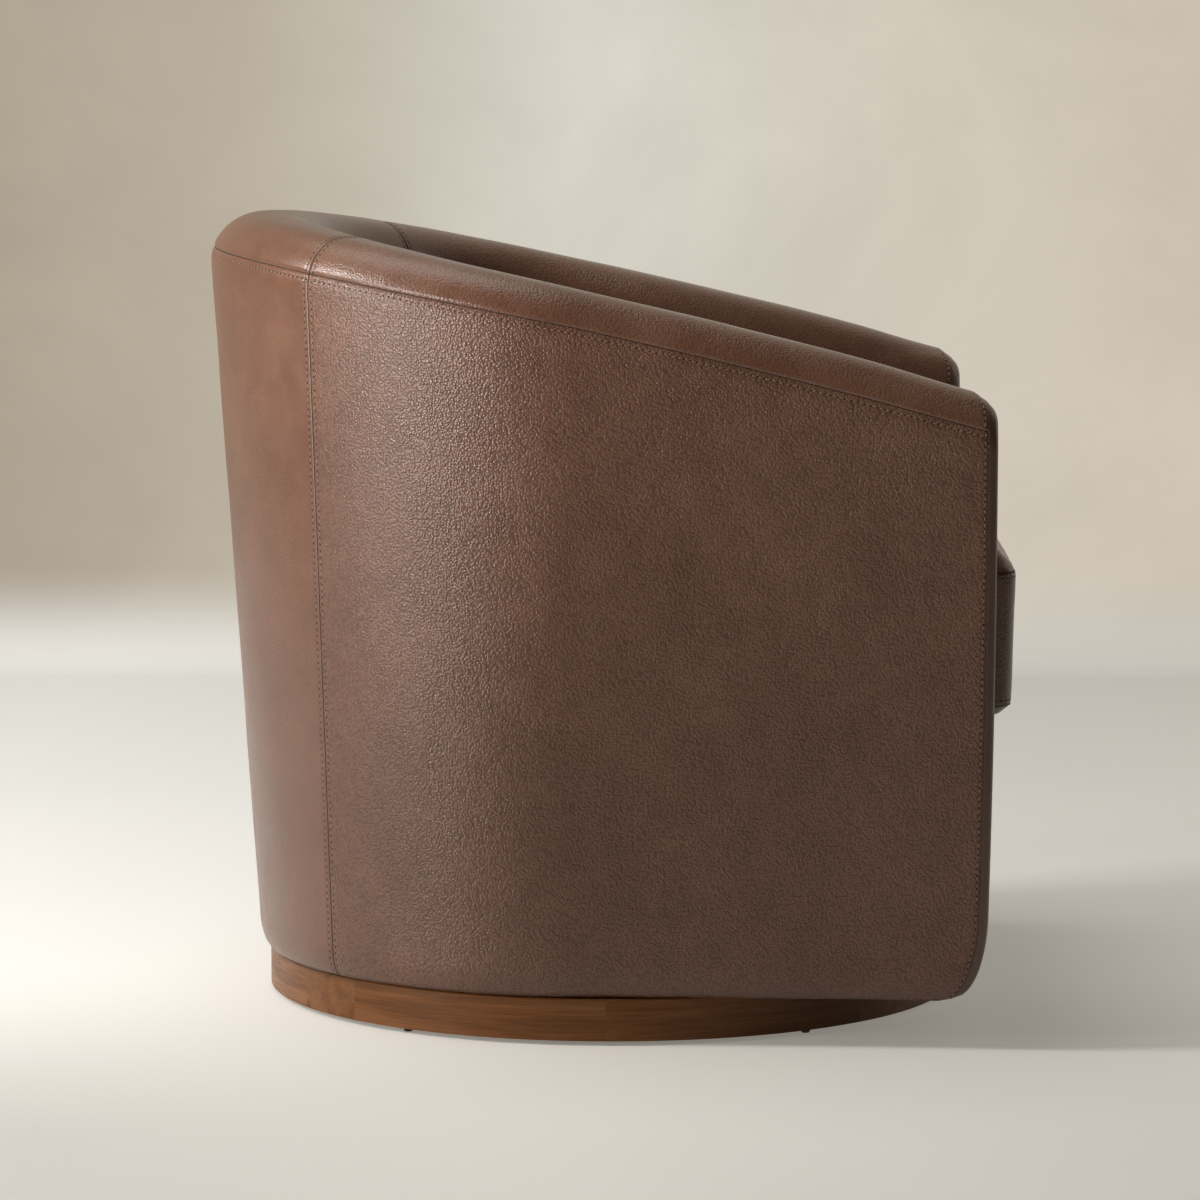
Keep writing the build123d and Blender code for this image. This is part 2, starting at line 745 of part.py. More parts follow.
# ---------------------------------------------------------------- swivel
def swivel_plate(underside, angle, centre_hole, holes):
    """Square plate that the rollers run on."""
    outline = chamfer(Rectangle(plate_size, plate_size).vertices(), plate_corner)
    plate = extrude(outline, amount=plate_thick)
    plate = plate.moved(Location((0, 0, underside), (0, 0, angle))) - Cylinder(centre_hole, FAR)
    for hole in holes:
        plate = plate - hole
    return plate


def turned_places(radius, count, first, tool):
    return [tool.moved(polar(radius, first + 360 * i / count, 0)) for i in range(count)]


def screw_places(radius, z, height):
    return turned_places(screw_circle, screw_count, plate_turn, round_bar(radius, z, z + height))


def bolt_places(radius, z, height):
    return turned_places(screw_circle, screw_count, 0, round_bar(radius, z, z + height))


def lower_plate():
    holes = screw_places(screw_radius + hole_clearance, 0, FAR)
    return swivel_plate(base_board_top, 0, pivot_radius + hole_clearance, holes)


def upper_plate():
    holes = bolt_places(bolt_radius + hole_clearance, 0, FAR)
    hole = pivot_radius + pivot_running_clearance
    return swivel_plate(seat_board_z - plate_thick, plate_turn, hole, holes)


def pivot():
    """Headed pivot, riveted in the lower plate, that holds the upper plate down on the rollers."""
    return hex_bolt(pivot_radius, base_board_top, seat_board_z + pivot_end_play,
                    pivot_radius + pivot_head, pivot_head_height)


def swivel_rollers():
    """Rollers that lie on spokes between the two plates."""
    roller = Cylinder(roller_radius, roller_length, rotation=(0, 90, 0))
    roller = roller.moved(Location((0, 0, bearing_z)))
    return Compound(turned_places(track_radius, roller_count, 0, roller))


def roller_cage():
    """Flat ring with one straight side and one pocket for each roller."""
    half_turn = 180 / roller_count
    ring = RegularPolygon(track_radius + cage_half_width, roller_count, major_radius=False)
    ring = ring - RegularPolygon(track_radius - cage_half_width, roller_count, major_radius=False)
    cage = extrude(ring, amount=cage_thick)
    cage = cage.moved(Location((0, 0, bearing_z - cage_thick / 2), (0, 0, half_turn)))
    spare = 2 * cage_pocket_clearance
    pocket = Box(roller_length + spare, 2 * roller_radius + spare, 2 * cage_thick)
    pocket = pocket.moved(Location((0, 0, bearing_z)))
    return cage - turned_places(track_radius, roller_count, 0, pocket)


def hex_bolt(radius, tip, face, head_radius, head_height):
    """Bolt or coach screw with a six-sided head, standing on a face."""
    head = extrude(RegularPolygon(head_radius, 6), amount=head_height)
    return round_bar(radius, tip, face) + head.moved(Location((0, 0, face)))


def plate_screws():
    face = base_board_top + plate_thick
    screw = hex_bolt(screw_radius, base_board_top - screw_length, face, screw_head_radius,
                     screw_head_height)
    return Compound(turned_places(screw_circle, screw_count, plate_turn, screw))


def plate_bolts():
    bolt = hex_bolt(bolt_radius, seat_board_z - plate_thick, seat_board_top, bolt_head_radius,
                    bolt_head_height)
    return Compound(turned_places(screw_circle, screw_count, 0, bolt))


def swivel_parts():
    return {
        "swivel_lower_plate": lower_plate(),
        "swivel_upper_plate": upper_plate(),
        "swivel_pivot": pivot(),
        "swivel_rollers": swivel_rollers(),
        "roller_cage": roller_cage(),
        "lower_plate_screws": plate_screws(),
        "upper_plate_bolts": plate_bolts(),
    }


# ---------------------------------------------------------------- assembly
def build():
    parts = {}
    parts.update(plinth_parts())
    parts.update(swivel_parts())
    parts.update(frame_parts())
    parts.update(front_panel_parts())
    parts.update(deck_parts())
    parts["dust_cover"] = dust_cover()
    parts.update(liner_panels())
    parts.update(foam_pads())
    parts.update(leather_panels())
    parts.update(cushion_parts())
    return parts


os.makedirs("parts", exist_ok=True)
for node, shape in build().items():
    export_step(shape, f"parts/{node}.step")
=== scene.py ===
import json
import math

import bmesh
import bpy
import numpy as np
from mathutils import Matrix, Vector, noise


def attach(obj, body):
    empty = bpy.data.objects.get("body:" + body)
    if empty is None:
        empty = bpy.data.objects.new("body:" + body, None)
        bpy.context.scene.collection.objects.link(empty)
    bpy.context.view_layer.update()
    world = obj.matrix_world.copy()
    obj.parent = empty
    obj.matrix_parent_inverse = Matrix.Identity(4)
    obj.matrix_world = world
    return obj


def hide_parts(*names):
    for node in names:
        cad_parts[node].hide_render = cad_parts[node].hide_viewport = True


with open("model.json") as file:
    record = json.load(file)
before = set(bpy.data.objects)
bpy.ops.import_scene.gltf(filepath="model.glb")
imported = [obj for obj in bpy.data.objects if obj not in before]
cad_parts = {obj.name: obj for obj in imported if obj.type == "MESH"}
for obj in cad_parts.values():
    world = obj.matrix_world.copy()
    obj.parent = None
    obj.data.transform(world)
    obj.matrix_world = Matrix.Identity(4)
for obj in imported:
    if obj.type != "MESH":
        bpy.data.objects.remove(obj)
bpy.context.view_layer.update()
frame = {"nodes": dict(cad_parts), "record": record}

# Sizes in millimetres, as in the CAD model. Meshes are scaled to metres when they are made.
MM = 0.001
BACK_H, ARM_H, BULGE, CREST_Y = 762.0, 606.0, 7.1, 328.0
FRONT_Y, ARC_Y = -361.0, 30.0
LOW_Z, HIGH_Z = 46.0, 715.0
LOW_W, LOW_REACH, LOW_FLARE = 343.0, 316.0, 16.0
HIGH_W, HIGH_REACH, HIGH_FLARE = 354.0, 361.0, 30.0
ARM_ROLL = (40.0, 10.0, 42.0)
BACK_ROLL = (52.0, 14.0, 52.0)
ROLL_DROP = 47.0
ARM_FOOT, BACK_FOOT = 4.0, 16.0
FOOT_H, FOOT_IN = 30.0, 6.8
CORNER_D, CORNER_H = 30.0, 80.0
EDGE_R, EDGE_IN, NOSE_R, NOSE_IN = 11.0, 7.0, 2.4, 2.2
TOP_CORNER_D, TOP_CORNER_H = 9.0, 20.0
SEAM_DROP = 33.0
SEAM_ANGLE = math.radians(44.4)
FRONT_SEAM = 9.0
TUCK = 30.0
LEAN, LEAN_GROWTH, LEAN_TOP, LEAN_RUN = 3.3, 4.1, 485.0, 350.0
FADE_START, FADE_RUN = 15.0, 130.0
MAX_FOOT_LIFT = 1.5
DECK_Z, DECK_TOP = 291.6, 297.8
PANEL_Y, PANEL_RETURN = FRONT_Y + 9.0, 62.0
ARM_LEN = ARC_Y - FRONT_Y
ARC_R = 345.0
LENGTH = 2 * ARM_LEN + math.pi * ARC_R
SEAM_Q = 3.0 + math.asin((ROLL_DROP - SEAM_DROP) / ROLL_DROP) / (math.pi / 2)
SEAM_W = (ARM_LEN + SEAM_ANGLE * ARC_R, ARM_LEN + (math.pi - SEAM_ANGLE) * ARC_R)


# -------------------- the tub's smooth surface
def reach_at(angle, half, depth):
    return 1 / np.sqrt((np.cos(angle) / half) ** 2 + (np.sin(angle) / depth) ** 2)


def stations(w):
    """Direction, place and reach of each upright station along the horseshoe, right arm first."""
    w = np.asarray(w, float)
    angle = np.clip(math.pi - (w - ARM_LEN) / ARC_R, 0, math.pi)
    right, left = w < ARM_LEN, w > LENGTH - ARM_LEN
    y_arm = np.where(right, FRONT_Y + w, FRONT_Y + (LENGTH - w))
    arm = right | left
    side = np.where(left, 1.0, -1.0)
    opening = ((ARC_Y - y_arm) / ARM_LEN) ** 2
    return {
        "y": np.where(arm, y_arm, ARC_Y),
        "dx": np.where(arm, side, np.cos(angle)),
        "dy": np.where(arm, 0.0, np.sin(angle)),
        "low": np.where(arm, LOW_W + LOW_FLARE * opening, reach_at(angle, LOW_W, LOW_REACH)),
        "high": np.where(arm, HIGH_W + HIGH_FLARE * opening, reach_at(angle, HIGH_W, HIGH_REACH)),
        "turn": np.where(arm, 0.0, np.sin(angle) ** 2),
    }


def reach(st, z):
    return st["low"] + (st["high"] - st["low"]) * (z - LOW_Z) / (HIGH_Z - LOW_Z)


def roll(st):
    return [a + (b - a) * st["turn"] for a, b in zip(ARM_ROLL, BACK_ROLL)]


def crest(st):
    out, flat, _ = roll(st)
    y = st["y"] + st["dy"] * (st["high"] - out - flat / 2)
    share = (y - FRONT_Y) / (CREST_Y - FRONT_Y)
    return ARM_H + (BACK_H - ARM_H) * share + 4 * BULGE * share * (1 - share)


def inner_face(st, z):
    thick = sum(roll(st))
    roll_z = crest(st) - ROLL_DROP
    thicker = ARM_FOOT + (BACK_FOOT - ARM_FOOT) * st["turn"]
    top = reach(st, roll_z) - thick
    foot = reach(st, DECK_Z) - thick - thicker
    return foot + (top - foot) * (z - DECK_Z) / (roll_z - DECK_Z)


def wall(w, q, inset=0.0):
    """Points of the tub's surface. q runs up the outside (0-3), over the top (3-6) and down (6-7)."""
    w, q = np.broadcast_arrays(np.asarray(w, float), np.asarray(q, float))
    st = stations(w)
    out, flat, inner = roll(st)
    roll_z = crest(st) - ROLL_DROP
    crest_out = reach(st, roll_z) - out
    rise = ROLL_DROP - inset
    foot_z = LOW_Z + np.minimum(inset, MAX_FOOT_LIFT)
    round_z = LOW_Z + FOOT_H
    round_r = reach(st, round_z) - inset
    radius = (FOOT_H**2 + FOOT_IN**2) / (2 * FOOT_IN)
    arc_z = foot_z + (round_z - foot_z) * np.clip(q - 1, 0, 1)
    arc_r = round_r - radius + np.sqrt(radius**2 - (round_z - arc_z) ** 2)
    foot_r = round_r - radius + np.sqrt(radius**2 - (round_z - foot_z) ** 2)
    face_z = round_z + (roll_z - round_z) * np.clip(q - 2, 0, 1)
    a = np.clip(q - 3, 0, 1) * math.pi / 2
    b = np.clip(q - 5, 0, 1) * math.pi / 2
    down_z = roll_z + (DECK_Z - 8 - roll_z) * np.clip(q - 6, 0, 1)
    r = np.select(
        [q <= 1, q <= 2, q <= 3, q <= 4, q <= 5, q <= 6],
        [foot_r - TUCK * (1 - q), arc_r, reach(st, face_z) - inset,
         crest_out + (out - inset) * np.cos(a), crest_out - flat * (q - 4),
         crest_out - flat - (inner - inset) * np.sin(b)],
        inner_face(st, down_z) + inset)
    z = np.select(
        [q <= 1, q <= 2, q <= 3, q <= 4, q <= 5, q <= 6],
        [foot_z + 0 * q, arc_z, face_z, roll_z + rise * np.sin(a), roll_z + rise + 0 * q,
         roll_z + rise * np.cos(b)],
        down_z)
    return np.stack([st["dx"] * r, st["y"] + st["dy"] * r, z], -1)


def front_draw(z):
    """How far the front leans back at a height: a little all the way up, more at the bottom."""
    lean = LEAN + LEAN_GROWTH * (np.clip(LEAN_TOP - z, 0, None) / LEAN_RUN) ** 2
    low = np.clip((LOW_Z + CORNER_H - z) / CORNER_H, 0, 1)
    return lean + CORNER_D * (1 - np.sqrt(1 - low**2))


def corner_draw(base):
    """How far places of the arms' surface are drawn back; it fades away behind the front."""
    y, z = base[..., 1], base[..., 2]
    high = np.clip((z - (ARM_H - TOP_CORNER_H)) / TOP_CORNER_H, 0, 1)
    draw = front_draw(z) + TOP_CORNER_D * (1 - np.sqrt(1 - high**2))
    fade = np.clip((y - FRONT_Y - FADE_START) / FADE_RUN, 0, 1)
    return draw * (1 - fade * fade * (3 - 2 * fade))


def tub(w, q, inset=0.0):
    """The wall with its front corners drawn back and its front edges turned in."""
    ahead = np.minimum(w, LENGTH - w)
    edge = EDGE_IN * np.clip(1 - ahead / EDGE_R, 0, 1) ** 1.3
    edge = edge + NOSE_IN * np.clip(1 - ahead / NOSE_R, 0, 1) ** 2
    points = wall(w, q, inset + edge)
    points[..., 1] += corner_draw(wall(w, q))
    return points


# -------------------- mesh helpers
def link(name, mesh):
    obj = bpy.data.objects.new(name, mesh)
    bpy.context.scene.collection.objects.link(obj)
    return obj


def mesh_piece(name, points, faces, material, body):
    mesh = bpy.data.meshes.new(name)
    mesh.from_pydata([tuple(p) for p in np.asarray(points) * MM], [], faces)
    mesh.validate()
    bm = bmesh.new()
    bm.from_mesh(mesh)
    bmesh.ops.recalc_face_normals(bm, faces=bm.faces)
    bm.to_mesh(mesh)
    bm.free()
    mesh.polygons.foreach_set("use_smooth", [True] * len(mesh.polygons))
    mesh.materials.append(material)
    obj = link(name, mesh)
    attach(obj, body)
    return obj


def grid_faces(rows, cols, start=0):
    faces = []
    for i in range(rows - 1):
        for j in range(cols - 1):
            a = start + i * cols + j
            faces.append((a, a + 1, a + cols + 1, a + cols))
    return faces


def rim_faces(rows, cols):
    """Faces between the borders of two grids of the same size, the second listed after the first."""
    size = rows * cols
    loop = [i * cols for i in range(rows)] + [(rows - 1) * cols + j for j in range(1, cols)]
    loop += [i * cols + cols - 1 for i in range(rows - 2, -1, -1)] + list(range(cols - 2, 0, -1))
    return [(a, b, b + size, a + size) for a, b in zip(loop, loop[1:] + loop[:1])]


def ring_faces(rings, n):
    """Faces between closed rings of n points each."""
    return [(i * n + j, i * n + (j + 1) % n, (i + 1) * n + (j + 1) % n, (i + 1) * n + j)
            for i in range(rings - 1) for j in range(n)]


def grid_normals(points):
    du = np.gradient(points, axis=0)
    dv = np.gradient(points, axis=1)
    n = np.cross(du, dv)
    return n / np.maximum(np.linalg.norm(n, axis=-1, keepdims=True), 1e-9)


def run_length(points, axis):
    """Distance along one direction of a grid from its first line."""
    steps = np.linalg.norm(np.diff(points, axis=axis), axis=-1)
    pad = [(0, 0), (0, 0)]
    pad[axis] = (1, 0)
    return np.pad(np.cumsum(steps, axis=axis), pad)


def line_run(line):
    return np.concatenate([[0], np.cumsum(np.linalg.norm(np.diff(line, axis=0), axis=1))])


def seam_dip(distance, depth, width):
    return depth * np.clip(1 - distance / width, 0, 1) ** 2


def wobble(points, size, seed):
    """Gentle unevenness of padding under leather."""
    flat = points.reshape(-1, 3)
    shift = Vector((seed * 3.1, seed * 1.7, seed * 2.3))
    values = [noise.noise(Vector(p) / size + shift) for p in flat]
    return np.array(values).reshape(points.shape[:-1])


def near_edges(length, fine=(0, 0.6, 1.3, 2.1, 3.0, 4.0, 5.0, 6.0, 7.0, 8.5, 11.0), pitch=6.0):
    """Places along a span, close together at both ends where seams run."""
    inner = [f for f in fine if f < length / 2]
    gap = length - 2 * inner[-1]
    count = max(int(round(gap / pitch)), 1)
    middle = [inner[-1] + gap * i / count for i in range(1, count)]
    return np.array(inner + middle + [length - f for f in reversed(inner)])


# -------------------- shader helpers
def new_material(name):
    mat = bpy.data.materials.new(name)
    mat.use_nodes = True
    tree = mat.node_tree
    tree.nodes.clear()
    out = tree.nodes.new("ShaderNodeOutputMaterial")
    bsdf = tree.nodes.new("ShaderNodeBsdfPrincipled")
    tree.links.new(bsdf.outputs["BSDF"], out.inputs["Surface"])
    return mat, tree, bsdf


def put(tree, socket, value):
    """Set a socket, or link it to another node's output."""
    if isinstance(value, bpy.types.NodeSocket):
        tree.links.new(value, socket)
    else:
        socket.default_value = value + (1,) if socket.type == "RGBA" else value


def feed(tree, n, **values):
    """Fill a node's inputs; _ stands for a space in their names."""
    for key, value in values.items():
        put(tree, n.inputs[key.replace("_", " ")], value)
    return n


def add(tree, kind, **values):
    return feed(tree, tree.nodes.new("ShaderNode" + kind), **values)


def coords(tree, scale=(1, 1, 1)):
    place = add(tree, "TexCoord").outputs["Object"]
    return add(tree, "Mapping", Scale=scale, Vector=place).outputs["Vector"]


def noise_tex(tree, vector, scale, detail=3.0, rough=0.5, distortion=0.0):
    return add(tree, "TexNoise", Scale=scale, Detail=detail, Roughness=rough, Distortion=distortion,
               Vector=vector)


def ramp(tree, source, stops):
    n = tree.nodes.new("ShaderNodeValToRGB")
    elements = n.color_ramp.elements
    while len(elements) > 1:
        elements.remove(elements[-1])
    elements[0].position, elements[0].color = stops[0][0], tuple(stops[0][1]) + (1,)
    for place, colour in stops[1:]:
        e = elements.new(place)
        e.color = tuple(colour) + (1,)
    tree.links.new(source, n.inputs["Fac"])
    return n.outputs["Color"]


def remap(tree, source, from_min, from_max, to_min, to_max, kind="LINEAR"):
    n = add(tree, "MapRange", From_Min=from_min, From_Max=from_max, To_Min=to_min, To_Max=to_max,
            Value=source)
    n.interpolation_type = kind
    return n.outputs["Result"]


def math_node(tree, operation, a, b):
    n = tree.nodes.new("ShaderNodeMath")
    n.operation = operation
    for socket, value in zip(n.inputs, (a, b)):
        put(tree, socket, value)
    return n.outputs["Value"]


def mix_colour(tree, factor, a, b, blend="MIX"):
    n = tree.nodes.new("ShaderNodeMix")
    n.data_type = "RGBA"
    n.blend_type = blend
    n.clamp_result = True
    # Sockets 6 and 7 are the colours to mix; output 2 is the mixed colour.
    for i, value in ((0, factor), (6, a), (7, b)):
        put(tree, n.inputs[i], value)
    return n.outputs[2]


def bump(tree, bsdf, height, distance, strength):
    n = add(tree, "Bump", Strength=strength, Distance=distance, Height=height)
    feed(tree, bsdf, Normal=n.outputs["Normal"])


# -------------------- materials
def leather_material(name, dark, mid, light, grain=1.0, rough=0.29):
    """Pebbled leather: mottled dye, and creases round pebbles 2 to 3 mm across."""
    mat, tree, bsdf = new_material(name)
    base = coords(tree)
    warp = noise_tex(tree, base, 260.0, 1.0)
    shifted = tree.nodes.new("ShaderNodeVectorMath")
    shifted.operation = "MULTIPLY_ADD"
    shifted.inputs[1].default_value = (0.0016, 0.0016, 0.0016)
    tree.links.new(warp.outputs["Color"], shifted.inputs[0])
    tree.links.new(base, shifted.inputs[2])
    cells = add(tree, "TexVoronoi", Scale=400.0, Randomness=0.85, Vector=shifted.outputs["Vector"])
    squared = math_node(tree, "MULTIPLY", cells.outputs["Distance"], cells.outputs["Distance"])
    pebble = remap(tree, squared, 0.0, 0.55, 1.0, 0.0)
    pores = noise_tex(tree, base, 1500.0, 2.0, 0.6)
    uneven = noise_tex(tree, base, 120.0, 2.0)
    strong = remap(tree, uneven.outputs["Fac"], 0.3, 0.7, 0.8, 1.05)
    valley = math_node(tree, "MULTIPLY", pebble, strong)
    height = math_node(tree, "ADD", valley, math_node(tree, "MULTIPLY", pores.outputs["Fac"], 0.10))
    broad = noise_tex(tree, base, 9.0, 4.0, 0.55)
    patches = noise_tex(tree, base, 34.0, 3.0, 0.6)
    tone = math_node(tree, "ADD", math_node(tree, "MULTIPLY", broad.outputs["Fac"], 0.6),
                     math_node(tree, "MULTIPLY", patches.outputs["Fac"], 0.4))
    colour = ramp(tree, tone, [(0.38, dark), (0.5, mid), (0.62, light)])
    # The base colour is darker in the pebbles' creases and a little lighter on their tops: painted
    # shade in the creases and a little painted light on the tops.
    painted_crease_shade = remap(tree, valley, 0.0, 0.8, 1.0 - 0.34 * grain, 1.0 + 0.08 * grain)
    gloss = math_node(tree, "ADD",
                      remap(tree, patches.outputs["Fac"], 0.3, 0.7, rough - 0.03, rough + 0.04),
                      remap(tree, valley, 0.1, 0.7, 0.12 * grain, 0.0))
    feed(tree, bsdf, Base_Color=mix_colour(tree, 1.0, colour, painted_crease_shade, "MULTIPLY"), Roughness=gloss,
         Specular_IOR_Level=0.7)
    bump(tree, bsdf, height, 0.00042 * grain, 1.0)
    return mat


def wood_material(name, dark, mid, light, ring=True, rough=0.35, grain=1.0):
    """Fine-grained timber. On the plinth the grain runs round the ring, else along X."""
    mat, tree, bsdf = new_material(name)
    base = coords(tree)
    if ring:
        split = add(tree, "SeparateXYZ", Vector=base)
        angle = math_node(tree, "ARCTAN2", split.outputs["Y"], split.outputs["X"])
        arc = math_node(tree, "MULTIPLY", angle, 0.337)
        radius = math_node(tree, "SQRT", math_node(tree, "ADD",
                           math_node(tree, "MULTIPLY", split.outputs["X"], split.outputs["X"]),
                           math_node(tree, "MULTIPLY", split.outputs["Y"], split.outputs["Y"])), 0.0)
        base = add(tree, "CombineXYZ", X=arc, Y=radius, Z=split.outputs["Z"]).outputs[0]
    along = add(tree, "Mapping", Scale=(3.0, 60.0, 60.0), Vector=base)
    figure = noise_tex(tree, along.outputs["Vector"], 1.0, 5.0, 0.6, 0.8)
    fine = add(tree, "Mapping", Scale=(22.0, 900.0, 900.0), Vector=base)
    pores = noise_tex(tree, fine.outputs["Vector"], 1.0, 2.0, 0.5)
    colour = ramp(tree, figure.outputs["Fac"], [(0.3, dark), (0.5, mid), (0.7, light)])
    streaks = remap(tree, pores.outputs["Fac"], 0.35, 0.6, 0.72, 1.04)
    feed(tree, bsdf, Base_Color=mix_colour(tree, 1.0, colour, streaks, "MULTIPLY"),
         Roughness=remap(tree, pores.outputs["Fac"], 0.3, 0.7, rough + 0.12, rough - 0.03),
         Specular_IOR_Level=0.28)
    bump(tree, bsdf, pores.outputs["Fac"], 0.0002, 0.35 * grain)
    return mat


def mottled_material(name, dark, light, scale, rough, metal=0.0, height=0.0003, strength=0.3,
                     detail=4.0, stretch=(1, 1, 1)):
    mat, tree, bsdf = new_material(name)
    base = coords(tree, stretch)
    tex = noise_tex(tree, base, scale, detail, 0.6)
    colour = ramp(tree, tex.outputs["Fac"], [(0.3, dark), (0.7, light)])
    shine = remap(tree, tex.outputs["Fac"], 0.3, 0.7, rough + 0.08, rough - 0.05)
    feed(tree, bsdf, Base_Color=colour, Roughness=shine, Metallic=metal)
    bump(tree, bsdf, tex.outputs["Fac"], height, strength)
    return mat


def woven_material(name, dark, light, pitch, rough=0.85):
    """Plain weave from two crossed waves."""
    mat, tree, bsdf = new_material(name)
    base = coords(tree)
    waves = []
    for direction in ("X", "Y"):
        # A scale of pi / 10 gives a wave one unit long.
        wave = add(tree, "TexWave", Scale=0.314 / pitch, Distortion=0.6, Detail=1.0, Vector=base)
        wave.bands_direction = direction
        waves.append(wave.outputs["Fac"])
    weave = math_node(tree, "MULTIPLY", waves[0], waves[1])
    fuzz = noise_tex(tree, base, 700.0, 3.0)
    tone = math_node(tree, "ADD", math_node(tree, "MULTIPLY", weave, 0.7),
                     math_node(tree, "MULTIPLY", fuzz.outputs["Fac"], 0.3))
    colour = ramp(tree, tone, [(0.1, dark), (0.8, light)])
    feed(tree, bsdf, Base_Color=colour, Roughness=rough)
    bump(tree, bsdf, tone, 0.0004, 0.6)
    return mat


DYE = ((0.182, 0.078, 0.042), (0.207, 0.092, 0.052), (0.236, 0.109, 0.063))
LEATHER = leather_material("pebbled_leather", *DYE)
SMOOTH_LEATHER = leather_material("smooth_leather", *DYE, grain=0.25, rough=0.31)
ROLL_LEATHER = leather_material("roll_leather", *DYE, grain=0.5, rough=0.29)
# The cushion's leather is a darker copy of the same dye: painted shade.
SHADED_CUSHION_LEATHER = leather_material("cushion_leather_painted_shade", (0.150, 0.066, 0.043), (0.174, 0.080, 0.052),
                                   (0.200, 0.095, 0.063), grain=0.5)
THREAD = mottled_material("thread", (0.26, 0.15, 0.09), (0.42, 0.28, 0.18), 2500.0, 0.40,
                          height=0.0002, strength=0.5)
DARK_THREAD = mottled_material("dark_thread", (0.09, 0.045, 0.032), (0.17, 0.09, 0.062), 2500.0, 0.42,
                               height=0.0002, strength=0.5)
# Near-black for the needle hole at each stitch and for the bottoms of the seams: painted shade.
PAINTED_SHADE_DARK = mottled_material("painted_shade_dark", (0.008, 0.004, 0.003), (0.02, 0.011, 0.008), 900.0, 0.8)
WALNUT = wood_material("walnut", (0.175, 0.062, 0.016), (0.275, 0.104, 0.030), (0.38, 0.16, 0.055))
WALNUT_BLOCK = wood_material("walnut_block", (0.19, 0.070, 0.020), (0.29, 0.114, 0.034),
                             (0.39, 0.17, 0.060), ring=False)
PLYWOOD = wood_material("plywood", (0.42, 0.28, 0.15), (0.55, 0.40, 0.24), (0.66, 0.50, 0.33),
                        ring=False, rough=0.6)
TIMBER = wood_material("frame_timber", (0.45, 0.30, 0.17), (0.60, 0.43, 0.26), (0.70, 0.53, 0.35),
                       ring=False, rough=0.62)
FIBREBOARD = mottled_material("fibreboard", (0.24, 0.16, 0.10), (0.40, 0.29, 0.19), 600.0, 0.8)
FOAM = mottled_material("foam", (0.62, 0.54, 0.36), (0.82, 0.75, 0.55), 900.0, 0.9, height=0.0006,
                        strength=0.7)
WEBBING = woven_material("webbing", (0.03, 0.025, 0.022), (0.12, 0.10, 0.09), 0.0022)
CLOTH = woven_material("lining_cloth", (0.012, 0.011, 0.011), (0.045, 0.042, 0.040), 0.0011)
STEEL = mottled_material("zinc_plate", (0.36, 0.37, 0.38), (0.58, 0.59, 0.60), 60.0, 0.34, metal=1.0,
                         height=0.0001, strength=0.12, stretch=(1, 1, 4))
PLASTIC = mottled_material("black_plastic", (0.010, 0.010, 0.011), (0.028, 0.028, 0.030), 500.0, 0.45,
                           strength=0.2)
SLOT_MATERIALS = {
    "leather_brown": LEATHER, "walnut": WALNUT, "plywood": PLYWOOD, "frame_timber": TIMBER,
    "lining_board": FIBREBOARD, "foam": FOAM, "webbing": WEBBING, "lining_cloth": CLOTH,
    "zinc_steel": STEEL, "black_plastic": PLASTIC,
}
for part in frame["record"]["subparts"]:
    for slot in frame["nodes"][part["node"]].material_slots:
        slot.material = SLOT_MATERIALS[part["material_slot"]]
for slot in frame["nodes"]["plinth_blocks"].material_slots:
    slot.material = WALNUT_BLOCK


# -------------------- leather panels of the tub
# How far in from its seam each stitch row runs, and how deep the seams are drawn in.
TOP_ROW, REAR_ROW, FRONT_ROW = 6.0, 4.7, 3.2
SEAM_DEPTH = {FRONT_ROW: 0.35, REAR_ROW: 0.8}
PLAIN_DEPTH, SEAM_WIDTH = 1.7, 4.5
ROW_DEPTH, ROW_WIDTH = 0.30, 1.5
SKIN_SINK, EDGE_DEPTH = 0.3, 2.5
STITCH_ROWS, SEAM_LINES = [], []


def path_places(w0, w1, pitch=6.0):
    return w0 + near_edges(w1 - w0, pitch=pitch)


def section_places(q0, q1, pitch=6.0):
    """Places up the section, evenly spaced along it and close together at both ends."""
    dense = np.linspace(q0, q1, 600)
    line = wall(np.full_like(dense, ARM_LEN + ARC_R), dense)
    run = line_run(line)
    return np.interp(near_edges(run[-1], pitch=pitch), run, dense)


def skin(w_places, q_places, rows, seed):
    """Surface of one leather panel: edges turned down into the seams, a dip along each stitch row.

    rows gives, for each edge that is a seam, how far in its stitch row runs (None for no row).
    """
    points = tub(w_places[:, None], q_places[None, :])
    below = tub(w_places[:, None], q_places[None, :], 1.0)
    normals = grid_normals(points)
    flip = np.sign(np.sum(normals * (points - below), axis=-1, keepdims=True))
    normals = normals * np.where(flip == 0, 1, flip)
    across, along = run_length(points, 0), run_length(points, 1)
    edges = {"w0": across, "w1": across[-1:] - across, "q0": along, "q1": along[:, -1:] - along}
    dip = np.zeros(across.shape)
    clear = np.full(across.shape, 1e9)
    for key, inset in rows.items():
        distance = edges[key]
        dip = np.maximum(dip, seam_dip(distance, SEAM_DEPTH.get(inset, PLAIN_DEPTH), SEAM_WIDTH))
        clear = np.minimum(clear, distance)
        if inset is not None:
            off = np.abs(distance - inset)
            dip = dip + ROW_DEPTH * np.exp(-((off / ROW_WIDTH) ** 2))
    soft = wobble(points, 120.0, seed) * 0.8 + wobble(points, 48.0, seed + 5) * 0.28
    lift = soft * np.clip(clear / 45.0, 0, 1) - dip - SKIN_SINK
    shown = points + normals * lift[..., None]
    for key, inset in rows.items():
        if inset is not None:
            STITCH_ROWS.append(row_line(shown, normals, edges[key], inset, key[0] == "q"))
        if inset in (TOP_ROW, REAR_ROW):
            SEAM_LINES.append(row_line(shown, normals, edges[key], 0.0, key[0] == "q"))
    return shown, normals


